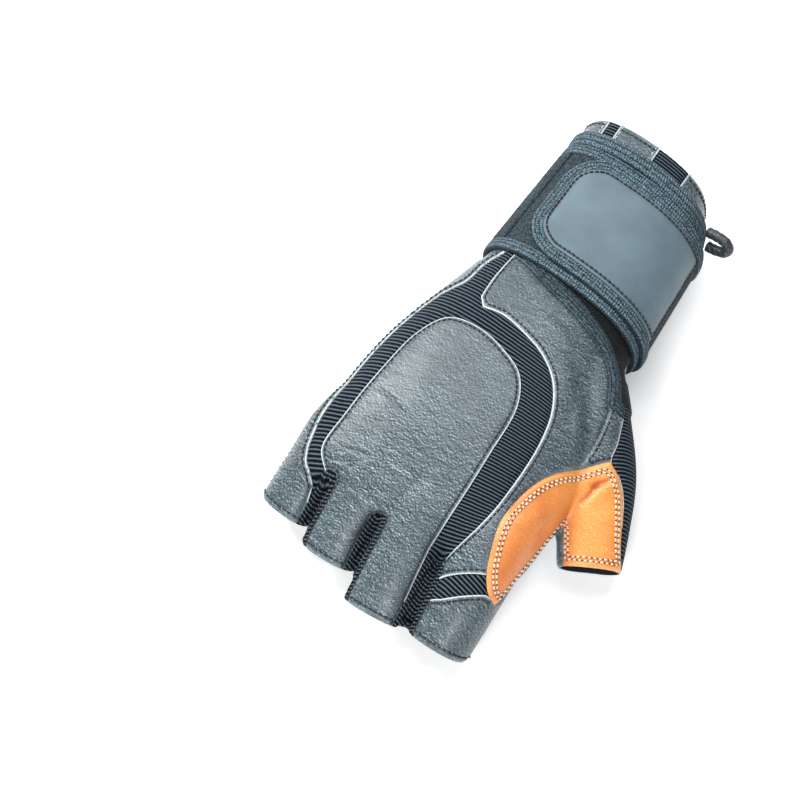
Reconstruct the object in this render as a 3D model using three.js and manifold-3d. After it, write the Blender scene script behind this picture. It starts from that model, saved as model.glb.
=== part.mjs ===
// A fingerless weightlifting glove for the right hand, with a long wrist wrap, lying palm down.
// Millimetres. +Y points to the fingers, -X to the thumb, +Z up. The glove rests on the plane Z = 0.

import * as THREE from 'three';
import { mergeVertices } from 'three/addons/utils/BufferGeometryUtils.js';
import Module from 'manifold-3d';

const wasm = await Module();
wasm.setup();

// Driving dimensions
const palmWidth = 98;            // across the knuckles, outside the leather
const palmLength = 114;          // from the wrist line to the finger forks
const handHeight = 51;           // from the surface to the top of the hand's back
const cuffLength = 68;           // from the wrist line to the rim
const cuffWidth = 60;            // across the sleeve
const cuffSkew = 0.12;           // how far the rim leans round, as a slope
const leatherWall = 2;
const clearance = 0.3;           // between neighbouring pieces
const gripThickness = 1.5;       // of the grip pads
const strapThickness = 1.9;      // at the strap's knitted edge
const strapFace = 1.5;           // of the strap inside that edge
const strapLength = 330;
const strapWidth = 57;           // of the strap's first turn
const tabWidth = 50;             // of the strap's closing tab
const tabRadius = 17;            // of the tab's round corners
const bindingWidth = 4.5;        // of the knitted edge
const labelLength = 60;
const labelThickness = 0.6;
const loopFieldLength = 30;
const loopFieldThickness = 0.6;
const knitBandWidth = 7.5;
const knitBandThickness = 1.6;
const fourchetteWidth = 7;       // of the mesh strip between two fingers, seen from above
const fourchetteRise = 3;        // of the middle of its rounded end over the fork
const ribbonWidth = 5;           // of the pull-off ribbons
const ribbonThickness = 1.2;
const ribbonSeam = 0.86;         // where it is sewn on, in shares of the finger's length
const ribbonReach = 17;          // how far a pull-off ribbon runs back under the hand
const pullRollRadius = 2.1;      // of the rolled leather pull loop
const pullRollReach = 8;         // how far it stands out from the sleeve
const ovalLength = 13;           // of an oval finger pad, across the finger
const ovalWidth = 11;            // along the finger

// Facets
const palmSides = 24;
const fingerSides = 12;
const thumbSides = 14;
const ovalSides = 10;
const roundness = 2.4;           // exponent of the rounded sections, 2 is an ellipse

// Working values
const hemReach = 10;             // how far cutting solids run past the hems
const seamOverlap = 0.01;        // between the two halves of a cutting solid
const wristLine = -0.09 * palmLength; // where the sleeve is sewn to the hand, under the strap
const strapLow = 0.075 * cuffLength;  // the strap's edge next to the hand

// Levels that the pieces rest on
const leatherLevel = gripThickness + clearance;
const sleeveLevel = 2 * (strapThickness + clearance);

const table = (columns, rows) => rows.map((row) => Object.fromEntries(
  columns.split(' ').map((column, index) => [column, row[index]])));

// Sections of the sleeve: back in shares of cuffLength, side and half in shares of cuffWidth,
// top and bottom in shares of handHeight
const sleeveSections = table('back side half top bottom', [
  [1.000, 0.067, 0.490, 0.915, 0.060],
  [0.763, 0.015, 0.524, 0.925, 0.050],
  [-0.075, 0.022, 0.569, 0.950, 0.050],
]);

// Sections of the palm: along in shares of palmLength, side and half in shares of palmWidth,
// top and bottom in shares of handHeight
const palmSections = table('along side half top bottom', [
  [0.105, 0.020, 0.366, 0.975, 0.040],
  [0.265, 0.036, 0.412, 1.000, -0.010],
  [0.480, 0.030, 0.480, 0.980, 0.000],
  [0.700, 0.038, 0.495, 0.930, 0.070],
  [0.875, 0.051, 0.503, 0.833, 0.157],
  [0.950, 0.056, 0.495, 0.775, 0.200],
  [1.015, 0.061, 0.470, 0.667, 0.285],
]);

// Stations along each finger from the palm to the hem: side and half in shares of palmWidth,
// along in shares of palmLength, height and deep (half the depth) in shares of handHeight
const fingerStations = {
  index: table('side along height half deep', [
    [-0.291, 0.737, 0.569, 0.143, 0.235],
    [-0.301, 0.895, 0.578, 0.137, 0.235],
    [-0.304, 1.070, 0.431, 0.134, 0.214],
    [-0.299, 1.237, 0.208, 0.122, 0.200],
  ]),
  middle: table('side along height half deep', [
    [-0.015, 0.737, 0.588, 0.148, 0.235],
    [-0.020, 0.895, 0.588, 0.142, 0.235],
    [-0.027, 1.070, 0.447, 0.135, 0.216],
    [-0.033, 1.246, 0.212, 0.132, 0.204],
  ]),
  ring: table('side along height half deep', [
    [0.224, 0.702, 0.578, 0.143, 0.231],
    [0.228, 0.851, 0.578, 0.132, 0.231],
    [0.230, 1.009, 0.441, 0.125, 0.212],
    [0.233, 1.158, 0.208, 0.120, 0.200],
  ]),
  pinky: table('side along height half deep', [
    [0.405, 0.658, 0.529, 0.110, 0.216],
    [0.440, 0.807, 0.529, 0.117, 0.212],
    [0.455, 0.956, 0.402, 0.111, 0.196],
    [0.476, 1.101, 0.198, 0.108, 0.188],
  ]),
};
const thumbStations = table('side along height half deep', [
  [-0.180, 0.193, 0.529, 0.172, 0.373],
  [-0.343, 0.351, 0.510, 0.156, 0.324],
  [-0.474, 0.500, 0.431, 0.154, 0.280],
  [-0.561, 0.640, 0.333, 0.139, 0.247],
  [-0.628, 0.759, 0.245, 0.122, 0.216],
]);

// Seam lines: across in shares of palmWidth, along in shares of palmLength
const seam = (rows) => table('across along', rows);
const knuckleSeam = seam([
  [0.367, 1.000], [0.435, 0.935], [0.430, 0.800], [0.410, 0.620], [0.370, 0.440], [0.300, 0.355],
  [0.165, 0.345], [0.035, 0.375], [-0.062, 0.420], [-0.125, 0.520], [-0.135, 0.700], [-0.133, 0.870],
  [-0.122, 1.040],
]);
const bandThumbSeam = seam([
  [0.205, 0.270], [0.120, 0.265], [0.020, 0.285], [-0.085, 0.318], [-0.175, 0.375], [-0.240, 0.470],
  [-0.268, 0.600], [-0.265, 0.760], [-0.240, 0.910], [-0.184, 1.040],
]);
const bandWristSeam = seam([[0.235, -0.100], [0.238, 0.040], [0.243, 0.150], [0.237, 0.236]]);
const bandPinkySeam = seam([
  [0.405, 1.030], [0.468, 0.985], [0.505, 0.880], [0.512, 0.740], [0.498, 0.560], [0.462, 0.400],
  [0.400, 0.265], [0.335, 0.190], [0.318, 0.090], [0.265, -0.020], [0.262, -0.100],
]);
const palmPinkySeam = seam([
  [0.262, -0.100], [0.290, 0.040], [0.342, 0.120], [0.380, 0.250], [0.436, 0.410], [0.472, 0.540],
  [0.496, 0.650], [0.545, 0.730],
]);
const webBackSeam = seam([
  [-0.470, 1.045], [-0.440, 1.070], [-0.402, 1.070], [-0.362, 1.035], [-0.328, 0.965], [-0.300, 0.860],
  [-0.310, 0.760], [-0.350, 0.660], [-0.410, 0.580], [-0.470, 0.515], [-0.513, 0.478],
]);
const meshBackSeam = seam([
  [-0.440, 0.270], [-0.470, 0.340], [-0.500, 0.420], [-0.513, 0.478], [-0.560, 0.498], [-0.610, 0.535],
  [-0.655, 0.600], [-0.700, 0.670], [-0.750, 0.735], [-0.800, 0.820],
]);
const meshPalmSeam = seam([
  [-0.380, 0.230], [-0.437, 0.307], [-0.546, 0.465], [-0.622, 0.614], [-0.684, 0.737], [-0.735, 0.833],
]);
const thumbBackSeam = seam([
  [-0.425, 0.560], [-0.428, 0.460], [-0.418, 0.385], [-0.395, 0.300], [-0.360, 0.240],
]);
const gussetSeam = seam([
  [0.238, 0.020], [0.150, 0.045], [0.030, 0.090], [-0.070, 0.115], [-0.185, 0.150], [-0.290, 0.190],
  [-0.350, 0.245], [-0.400, 0.330],
]);
const fingerPalmSeam = seam([
  [-0.500, 0.930], [-0.370, 0.905], [-0.235, 0.884], [-0.070, 0.877], [0.040, 0.862], [0.165, 0.840],
  [0.265, 0.802], [0.378, 0.788], [0.490, 0.785], [0.600, 0.710],
]);
const thumbPalmSeam = seam([
  [-0.120, -0.100], [-0.165, 0.070], [-0.225, 0.140], [-0.265, 0.245], [-0.296, 0.360], [-0.357, 0.500],
  [-0.440, 0.605], [-0.500, 0.690],
]);
const ribInsert = seam([
  [-0.130, 1.130], [-0.355, 1.028], [-0.470, 1.000], [-0.470, 1.060], [-0.390, 1.074], [-0.250, 1.150],
  [-0.130, 1.185],
]);

// Outlines of the palm grip pads, in the same shares
const gripOutlines = {
  pad_thumb_base: seam([
    [-0.165, 0.320], [-0.185, 0.220], [-0.175, 0.140], [-0.120, 0.085], [-0.040, 0.062], [-0.010, 0.105],
    [-0.040, 0.175], [-0.085, 0.285], [-0.130, 0.330],
  ]),
  pad_long: seam([
    [-0.378, 0.618], [-0.375, 0.585], [-0.315, 0.540], [-0.184, 0.465], [-0.080, 0.395], [-0.020, 0.310],
    [0.032, 0.190], [0.075, 0.095], [0.145, 0.045], [0.225, 0.060], [0.275, 0.140], [0.296, 0.225],
    [0.292, 0.275], [0.215, 0.240], [0.165, 0.282], [0.110, 0.370], [0.030, 0.445], [-0.095, 0.525],
    [-0.225, 0.590], [-0.335, 0.622],
  ]),
  pad_middle: seam([
    [-0.385, 0.690], [-0.372, 0.655], [-0.265, 0.635], [-0.085, 0.598], [0.090, 0.524], [0.215, 0.400],
    [0.310, 0.372], [0.338, 0.440], [0.305, 0.540], [0.192, 0.610], [0.030, 0.662], [-0.153, 0.700],
    [-0.315, 0.706],
  ]),
  pad_finger_base: seam([
    [-0.388, 0.845], [-0.405, 0.790], [-0.360, 0.762], [-0.205, 0.745], [-0.030, 0.730], [0.143, 0.700],
    [0.310, 0.655], [0.405, 0.645], [0.448, 0.690], [0.430, 0.735], [0.345, 0.740], [0.204, 0.775],
    [0.102, 0.808], [-0.010, 0.818], [-0.110, 0.848], [-0.210, 0.848], [-0.310, 0.842],
  ]),
};

// Oval pads: which finger, and how far along it in shares of the stretch from the palm to the hem
const ovalPads = table('finger reach', [
  ['index', 0.60], ['index', 0.86], ['middle', 0.60], ['middle', 0.86],
  ['ring', 0.58], ['ring', 0.86], ['pinky', 0.66],
]);

// Finishes
const finish = (color, roughness) => new THREE.MeshStandardMaterial({ color, roughness, metalness: 0 });
const blackLeather = () => finish(0x556468, 0.48);
const orangeLeather = () => finish(0xf09a42, 0.55);
const ribKnit = () => finish(0x2a3038, 0.85);
const gripCloth = () => finish(0x3c4b60, 0.9);
const knitBinding = () => finish(0x374650, 0.88);
const labelCloth = () => finish(0x7d969f, 0.7);
const webbing = () => finish(0x34403f, 0.85);

// A closed surface through rings of points that run round +Y, with a fan at each end
function loft(rings) {
  const sides = rings[0].length;
  const points = rings.flat();
  const faces = [];
  for (let ring = 0; ring + 1 < rings.length; ring += 1) {
    for (let side = 0; side < sides; side += 1) {
      const near = ring * sides + side;
      const next = ring * sides + (side + 1) % sides;
      faces.push(near, near + sides, next, next, near + sides, next + sides);
    }
  }
  for (const [ring, turned] of [[rings[0], false], [rings[rings.length - 1], true]]) {
    const centre = points.length;
    const first = turned ? (rings.length - 1) * sides : 0;
    points.push(ring.reduce((sum, point) => sum.add(point), new THREE.Vector3()).divideScalar(sides));
    for (let side = 0; side < sides; side += 1) {
      const here = first + side;
      const next = first + (side + 1) % sides;
      faces.push(centre, turned ? next : here, turned ? here : next);
    }
  }
  return solidOf(new THREE.BufferGeometry().setFromPoints(points).setIndex(faces));
}

// The solid inside a closed geometry
function solidOf(geometry) {
  const bare = geometry.clone();
  bare.deleteAttribute('normal');
  bare.deleteAttribute('uv');
  const merged = mergeVertices(bare, 1e-4);
  return new wasm.Manifold(new wasm.Mesh({
    numProp: 3,
    vertProperties: Float32Array.from(merged.attributes.position.array),
    triVerts: Uint32Array.from(merged.index.array),
  }));
}

// A named mesh from the largest body of a solid: a seam may leave a crumb, which is no piece
function piece(name, solid, material) {
  const bodies = solid.decompose().sort((one, other) => other.volume() - one.volume());
  const { vertProperties, triVerts } = bodies[0].getMesh();
  const geometry = new THREE.BufferGeometry();
  geometry.setAttribute('position', new THREE.BufferAttribute(Float32Array.from(vertProperties), 3));
  geometry.setIndex(new THREE.BufferAttribute(Uint32Array.from(triVerts), 1));
  geometry.computeVertexNormals();
  const mesh = new THREE.Mesh(geometry, material);
  mesh.name = name;
  return mesh;
}

const mix = (from, to, share) => from + (to - from) * share;

// Values of a table's columns at a place, eased between its rows
function between(rows, column, place, names) {
  const last = rows.length - 1;
  let row = 0;
  while (row < last - 1 && rows[row + 1][column] < place) row += 1;
  const span = rows[row + 1][column] - rows[row][column];
  const share = THREE.MathUtils.clamp((place - rows[row][column]) / span, 0, 1);
  const before = rows[Math.max(row - 1, 0)];
  const after = rows[Math.min(row + 2, last)];
  const value = {};
  for (const name of names) {
    const slopeIn = (rows[row + 1][name] - before[name]) / (rows[row + 1][column] - before[column]);
    const slopeOut = (after[name] - rows[row][name]) / (after[column] - rows[row][column]);
    const ease = share * share * (3 - 2 * share);
    value[name] = mix(rows[row][name], rows[row + 1][name], ease)
      + span * share * (1 - share) * ((1 - share) * slopeIn - share * slopeOut);
  }
  return value;
}

// All sections of the sleeve and palm in millimetres, ordered along Y
const bodySections = [
  ...sleeveSections.map((row) => ({
    y: -row.back * cuffLength,
    centre: row.side * cuffWidth,
    half: row.half * cuffWidth,
    top: row.top * handHeight,
    bottom: row.bottom * handHeight,
    level: sleeveLevel,
    skew: cuffSkew,
  })),
  ...palmSections.map((row, index) => ({
    y: row.along * palmLength,
    centre: row.side * palmWidth,
    half: row.half * palmWidth,
    top: row.top * handHeight,
    bottom: row.bottom * handHeight,
    level: index > 0 ? leatherLevel : sleeveLevel,
    skew: index > 0 ? 0 : cuffSkew / 2,
  })),
];
const sectionColumns = ['centre', 'half', 'top', 'bottom', 'level', 'skew'];
const bodyAt = (y) => between(bodySections, 'y', y, sectionColumns);

const power = (value, exponent) => Math.sign(value) * Math.abs(value) ** exponent;

// A point on a body section at an angle from +X over +Z, grown outwards and flattened where it rests
function bodyPoint(y, angle, grow) {
  const section = bodyAt(y);
  const middle = (section.top + section.bottom) / 2;
  const tall = (section.top - section.bottom) / 2 + grow;
  const wide = section.half + grow;
  const across = wide * power(Math.cos(angle), 2 / roundness);
  const height = middle + tall * power(Math.sin(angle), 2 / roundness);
  return new THREE.Vector3(
    section.centre + across,
    y - section.skew * across,
    Math.max(height, Math.max(section.level, leatherLevel) - grow),
  );
}

const turnOf = (sides) => Array.from({ length: sides }, (_, side) => (2 * Math.PI * side) / sides);

// The body from one Y to another
function bodySolid(places, grow) {
  return loft(places.map((y) => turnOf(palmSides).map((angle) => bodyPoint(y, angle, grow))));
}

const palmRings = [...palmSections, { along: 0.37 }, { along: 0.59 }]
  .map((row) => row.along * palmLength).sort((one, other) => one - other);
const sleeveRings = [-cuffLength, strapLow - strapWidth, strapLow];

// A point on the sleeve, whose rings are joined by straight facets
function sleevePoint(y, angle, grow) {
  const ring = y < sleeveRings[1] ? 0 : 1;
  const share = (y - sleeveRings[ring]) / (sleeveRings[ring + 1] - sleeveRings[ring]);
  return bodyPoint(sleeveRings[ring], angle, grow).lerp(bodyPoint(sleeveRings[ring + 1], angle, grow), share);
}

// A finger or the thumb as its axis, its sections and its direction
function digit(stations, name) {
  const rows = stations.map((row, index) => ({
    at: index / (stations.length - 1),
    x: row.side * palmWidth,
    y: row.along * palmLength,
    z: row.height * handHeight,
    half: row.half * palmWidth,
    deep: row.deep * handHeight,
  }));
  const axisAt = (share) => between(rows, 'at', share, ['x', 'y', 'z', 'half', 'deep']);
  const point = (share, angle, grow, past = 0) => {
    const here = axisAt(share);
    const step = 0.02;
    const ahead = axisAt(Math.min(share + step, 1));
    const behind = axisAt(Math.max(share - step, 0));
    const along = new THREE.Vector3(ahead.x - behind.x, ahead.y - behind.y, ahead.z - behind.z).normalize();
    const across = new THREE.Vector3(0, 0, 1).cross(along).negate().normalize();
    const rise = across.clone().cross(along);
    const place = new THREE.Vector3(here.x, here.y, here.z)
      .addScaledVector(along, past)
      .addScaledVector(across, (here.half + grow) * power(Math.cos(angle), 2 / roundness))
      .addScaledVector(rise, (here.deep + grow) * power(Math.sin(angle), 2 / roundness));
    place.z = Math.max(place.z, leatherLevel - grow);
    return place;
  };
  return { name, rows, axisAt, point };
}
const digits = Object.fromEntries(
  [...Object.entries(fingerStations), ['thumb', thumbStations]].map(([name, stations]) => [
    name, digit(stations, name)]));

// The tube round a digit, with its hem pushed out past the real one by the reach
function digitSolid(one, grow, reach) {
  const sides = one.name === 'thumb' ? thumbSides : fingerSides;
  const steps = one.rows.length;
  const shares = Array.from({ length: steps + 1 }, (_, step) => step / steps);
  const rings = shares.map((share) => turnOf(sides).map((angle) => one.point(share, angle, grow)));
  if (reach > 0) rings.push(turnOf(sides).map((angle) => one.point(1, angle, grow, reach)));
  return loft(rings);
}

// The whole hand, sleeve to hems
function handSolid(grow, reach) {
  const rings = [...sleeveRings, ...palmRings];
  if (reach > 0) rings.unshift(-cuffLength - reach);
  return Object.values(digits).reduce((hand, one) => hand.add(digitSolid(one, grow, reach)),
    bodySolid(rings, grow));
}

const leatherHand = handSolid(0, 0);
const hollowHand = handSolid(-leatherWall, hemReach);
const shell = leatherHand.subtract(hollowHand);

// An outline on the plan from a seam's shares
const plan = (rows) => rows.map((row) => new THREE.Vector2(row.across * palmWidth, row.along * palmLength));
const curveThrough = (points, closed, count) => new THREE.CatmullRomCurve3(
  points.map((point) => new THREE.Vector3(point.x, point.y, 0)), closed, 'centripetal')
  .getPoints(count).slice(0, closed ? -1 : undefined).map((point) => new THREE.Vector2(point.x, point.y));
const flow = (rows, perRow = 2) => curveThrough(plan(rows), false, (rows.length - 1) * perRow);

// An outline moved outwards by a distance
function moved(outline, distance) {
  const points = THREE.ShapeUtils.isClockWise(outline) ? [...outline].reverse() : outline;
  const outward = (from, to) => new THREE.Vector2(to.y - from.y, from.x - to.x).normalize();
  return points.map((point, index) => {
    const before = outward(points[(index + points.length - 1) % points.length], point);
    const after = outward(point, points[(index + 1) % points.length]);
    const middle = before.add(after).normalize();
    return point.clone().addScaledVector(middle, distance / Math.max(middle.dot(after), 0.5));
  });
}

const sky = 3 * handHeight;
function prism(outline, low = -sky, high = sky) {
  const geometry = new THREE.ExtrudeGeometry(new THREE.Shape(outline), {
    depth: high - low, bevelEnabled: false, steps: 1,
  });
  return solidOf(geometry.translate(0, 0, low));
}

// The level that parts the hand's back from its palm: mid-height of the body and of each digit
const thumbBorder = { from: -0.40 * palmWidth, to: -0.52 * palmWidth };
const fingers = Object.values(digits).filter((one) => one.name !== 'thumb');
const digitLevel = (one, y) => between(one.rows, 'y', Math.max(y, one.rows[0].y), ['z']).z;
function splitLevel(one, y) {
  const section = bodyAt(y);
  const own = digitLevel(one, y);
  return one.name === 'thumb' ? own : Math.min((section.top + section.bottom) / 2, own);
}
const splitColumns = [
  [-2 * palmWidth, digits.thumb], [thumbBorder.to, digits.thumb], [thumbBorder.from, digits.index],
  ...fingers.map((one) => [one.rows.at(-1).x, one]), [2 * palmWidth, digits.pinky],
];
function splitSolid(above, gap) {
  const rows = [-0.4, 0.1, 0.35, 0.5, 0.65, 0.8, 0.95, 1.1, 1.25, 1.6].map((share) => share * palmLength);
  const limit = above ? sky : -sky;
  const points = [];
  const faces = [];
  for (const flat of [false, true]) {
    for (const y of rows) {
      for (const [x, one] of splitColumns) {
        points.push(new THREE.Vector3(x, y, flat ? limit : splitLevel(one, y) + gap));
      }
    }
  }
  const wide = splitColumns.length;
  const layer = wide * rows.length;
  const quad = (a, b, c, d) => {
    if (above) faces.push(a, c, b, a, d, c);
    else faces.push(a, b, c, a, c, d);
  };
  for (let row = 0; row + 1 < rows.length; row += 1) {
    for (let column = 0; column + 1 < wide; column += 1) {
      const here = row * wide + column;
      quad(here, here + 1, here + wide + 1, here + wide);
      quad(layer + here, layer + here + wide, layer + here + wide + 1, layer + here + 1);
    }
    const left = row * wide;
    const right = left + wide - 1;
    quad(left, left + wide, layer + left + wide, layer + left);
    quad(right, layer + right, layer + right + wide, right + wide);
  }
  const top = layer - wide;
  for (let column = 0; column + 1 < wide; column += 1) {
    quad(column, layer + column, layer + column + 1, column + 1);
    quad(top + column, top + column + 1, layer + top + column + 1, layer + top + column);
  }
  return solidOf(new THREE.BufferGeometry().setFromPoints(points).setIndex(faces));
}

// The room for a panel: one outline on the hand's back, one on its palm side, either may be missing
function room(back, palm, grow) {
  const joined = back && palm;
  const rooms = [];
  if (back) rooms.push(prism(moved(back, grow)).intersect(splitSolid(true, joined ? -seamOverlap : -grow)));
  if (palm) rooms.push(prism(moved(palm, grow)).intersect(splitSolid(false, joined ? seamOverlap : grow)));
  return rooms.reduce((sum, one) => sum.add(one));
}

const glove = new THREE.Group();
const half = clearance / 2;
let rest = shell;
function carve(name, back, palm, material) {
  glove.add(piece(name, rest.intersect(room(back, palm, -half)), material));
  rest = rest.subtract(room(back, palm, half));
}

const far = 2.2;                 // shares well outside the hand, where outlines close
const close = (...rows) => plan(seam(rows));

// The sleeve is parted from the hand under the strap
const wristCut = (shift) => [
  new THREE.Vector2(-palmWidth, wristLine + cuffSkew * palmWidth + shift),
  new THREE.Vector2(-palmWidth, -3 * cuffLength),
  new THREE.Vector2(palmWidth, -3 * cuffLength),
  new THREE.Vector2(palmWidth, wristLine - cuffSkew * palmWidth + shift),
];
let sleeve = rest.intersect(prism(wristCut(-half)));
rest = rest.subtract(prism(wristCut(half)));

// Fourchettes run between two fingers, from the hems back past the fork, further on the palm side
function fourchetteOutline(one, other, forkAlong) {
  const hem = Math.max(one.rows.at(-1).y, other.rows.at(-1).y) + hemReach;
  const line = (y) => {
    const left = between(one.rows, 'y', Math.min(y, one.rows.at(-1).y), ['x', 'half']);
    const right = between(other.rows, 'y', Math.min(y, other.rows.at(-1).y), ['x', 'half']);
    return (left.x + left.half + right.x - right.half) / 2;
  };
  const start = forkAlong * palmLength;
  const width = fourchetteWidth / 2;
  const side = (sign) => [hem, mix(hem, start, 0.45), mix(hem, start, 0.8)]
    .map((y) => new THREE.Vector2(line(y) + sign * width, y));
  const end = [60, 120].map((degrees) => THREE.MathUtils.degToRad(degrees)).map((angle) => new THREE.Vector2(
    line(start) + width * Math.cos(angle), start + fourchetteRise - width * Math.sin(angle)));
  return [...side(1), ...end, ...side(-1).reverse()];
}
const fourchettes = table('name one other back palm', [
  ['fourchette_index', 'index', 'middle', 1.05, 0.965],
  ['fourchette_middle', 'middle', 'ring', 1.02, 0.91],
  ['fourchette_pinky', 'ring', 'pinky', 0.985, 0.87],
]);
for (const row of fourchettes) {
  const outline = (fork) => fourchetteOutline(digits[row.one], digits[row.other], fork);
  carve(row.name, outline(row.back), outline(row.palm), ribKnit());
}

// Back of the hand
carve('knuckle_panel', [
  ...flow(knuckleSeam), ...close([-0.155, 1.5], [0.345, 1.5]),
], null, blackLeather());
carve('ribbed_band', [
  ...flow(bandPinkySeam), ...flow(bandWristSeam), ...flow(bandThumbSeam), ...close([-0.17, 1.2], [0.36, 1.2]),
], null, ribKnit());
carve('pinky_side_panel', [
  ...flow(bandPinkySeam), ...close([far, -0.1], [far, 1.5], [0.36, 1.5]),
], [
  ...flow(palmPinkySeam), ...close([far, 0.73], [far, -0.1]),
], blackLeather());
carve('thumb_outer_mesh', [
  ...flow(meshBackSeam, 1), ...close([-1, 0.95], [-1, 0.27]),
], [
  ...flow(meshPalmSeam), ...close([-1, 0.95], [-1, 0.23]),
], ribKnit());
carve('palm_leather', [
  ...flow(webBackSeam), ...flow(meshBackSeam.slice(3), 1), ...close([-0.8, 0.95], [-0.52, 1.085]),
], [
  ...flow(thumbPalmSeam), ...close([-0.52, 0.8]), ...flow(fingerPalmSeam), ...close([far, 0.7], [far, -0.1]),
], orangeLeather());
carve('index_rib_insert', plan(ribInsert), null, ribKnit());
carve('index_tip_panel', close([-0.13, 1.15], [-0.40, 1.05], [-0.7, 1.05], [-0.7, 1.5], [-0.13, 1.5]),
  null, blackLeather());
carve('wrist_knit_gusset', [
  ...flow(gussetSeam), ...close([-0.7, 0.33], [-0.7, -0.3], [0.238, -0.3]),
], null, knitBinding());
carve('thumb_base_strip', [
  ...flow(thumbBackSeam), ...close([-0.9, 0.24], [-0.9, 0.56]),
], null, blackLeather());

// Palm side
carve('finger_palm_leather', null, [
  ...flow(fingerPalmSeam), ...close([far, 0.9], [far, 1.6], [-far, 1.6], [-far, 1.2]),
], blackLeather());
carve('thumb_palm_leather', null, close([far, -0.3], [far, 1.6], [-far, 1.6], [-far, -0.3]), blackLeather());
glove.add(piece('thumb_side_panel', rest, blackLeather()));

// Elastic inserts in the sleeve's rim
const rimInserts = table('name from to', [
  ['cuff_insert_narrow', 0.30, 0.39],
  ['cuff_insert_wide', -0.25, -0.01],
]);
const insertDepth = 0.26 * cuffLength;
for (const row of rimInserts) {
  const outline = (grow) => [[row.from, 1], [row.to, 1], [row.to, 0], [row.from, 0]].map(([share, outer]) => {
    const x = share * cuffWidth;
    const edge = outer ? -2 * cuffLength : insertDepth - cuffLength + grow;
    return new THREE.Vector2(x + Math.sign(share - (row.from + row.to) / 2) * grow, edge - cuffSkew * x);
  });
  const above = (grow) => prism(outline(grow), handHeight / 2);
  glove.add(piece(row.name, sleeve.intersect(above(-half)), ribKnit()));
  sleeve = sleeve.subtract(above(half));
}
glove.add(piece('cuff_sleeve', sleeve, blackLeather()));

// Grip pads lie against the palm leather and carry the glove
const gripShell = handSolid(clearance + gripThickness, 0).subtract(handSolid(clearance, hemReach));
const gripRoom = splitSolid(false, -0.08 * handHeight);
for (const [name, rows] of Object.entries(gripOutlines)) {
  const outline = curveThrough(plan(rows), true, Math.round(rows.length * 1.5));
  glove.add(piece(name, gripShell.intersect(prism(outline)).intersect(gripRoom), gripCloth()));
}
for (const [index, row] of ovalPads.entries()) {
  const middle = digits[row.finger].axisAt(row.reach);
  const under = digits[row.finger].point(row.reach, -Math.PI / 2, 0);
  const outline = turnOf(ovalSides).map((angle) => new THREE.Vector2(
    middle.x + (ovalLength / 2) * power(Math.cos(angle), 0.8),
    under.y + (ovalWidth / 2) * power(Math.sin(angle), 0.8)));
  const name = `pad_${row.finger}_${index % 2 === 0 ? 'inner' : 'outer'}`;
  glove.add(piece(name, gripShell.intersect(prism(outline)).intersect(gripRoom), gripCloth()));
}

// The strap is laid out flat, along by across by lift, and wrapped round the sleeve on its own corners
const strapStart = Math.round(0.86 * palmSides);
const strapLayer = strapThickness + clearance;
const angleOf = (line) => (2 * Math.PI * (strapStart - line)) / palmSides;
const stepLength = (line, grow) => bodyPoint(-cuffLength / 2, angleOf(line), grow)
  .distanceTo(bodyPoint(-cuffLength / 2, angleOf(line + 1), grow));
const strapLines = [0];
while (strapLines.at(-1) < strapLength) {
  const line = strapLines.length - 1;
  strapLines.push(strapLines.at(-1) + stepLength(line, line < palmSides ? strapFace / 2 : strapLayer));
}
const secondTurn = strapLines[palmSides];
const strapLift = (line) => clearance + strapLayer * THREE.MathUtils.clamp(line - palmSides + 2, 0, 1);
function onStrap(along, across, lift) {
  let line = 0;
  while (line < strapLines.length - 2 && strapLines[line + 1] < along) line += 1;
  const share = (along - strapLines[line]) / (strapLines[line + 1] - strapLines[line]);
  const near = sleevePoint(across, angleOf(line), strapLift(line) + lift);
  return near.lerp(sleevePoint(across, angleOf(line + 1), strapLift(line + 1) + lift), share);
}

// The strap's edges at a place along it: the first turn is wide, the tab narrower with round corners
const tapered = { from: 0.92, to: 1.12 };
function strapEdges(along, inset) {
  const share = THREE.MathUtils.clamp(
    (along / secondTurn - tapered.from) / (tapered.to - tapered.from), 0, 1);
  const narrow = (share * (strapWidth - tabWidth)) / 2;
  const corner = tabRadius - inset;
  const into = THREE.MathUtils.clamp(along - (strapLength - inset - corner), 0, corner);
  const round = inset + narrow + corner - Math.sqrt(corner ** 2 - into ** 2);
  return [strapLow - strapWidth + round, strapLow - round];
}

// The places along the strap where it folds or starts to narrow
const strapPlaces = [...strapLines, tapered.from * secondTurn, tapered.to * secondTurn]
  .sort((one, other) => one - other);

// A band of the strap between two places and two lifts, its edges moved in by the inset
function strapBand(from, to, low, high, inset) {
  const corner = tabRadius - inset;
  const round = [0, 0.4, 0.7, 0.9, 1].map((share) => strapLength - inset - corner * (1 - share));
  const places = [from, ...strapPlaces, ...round, to]
    .filter((along) => along >= from && along <= to)
    .sort((one, other) => one - other)
    .filter((along, index, all) => index === 0 || along - all[index - 1] > clearance);
  return loft(places.map((along) => {
    const [near, off] = strapEdges(along, inset);
    return [[near, low], [near, high], [off, high], [off, low]]
      .map(([across, lift]) => onStrap(along, across, lift));
  }));
}

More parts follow.
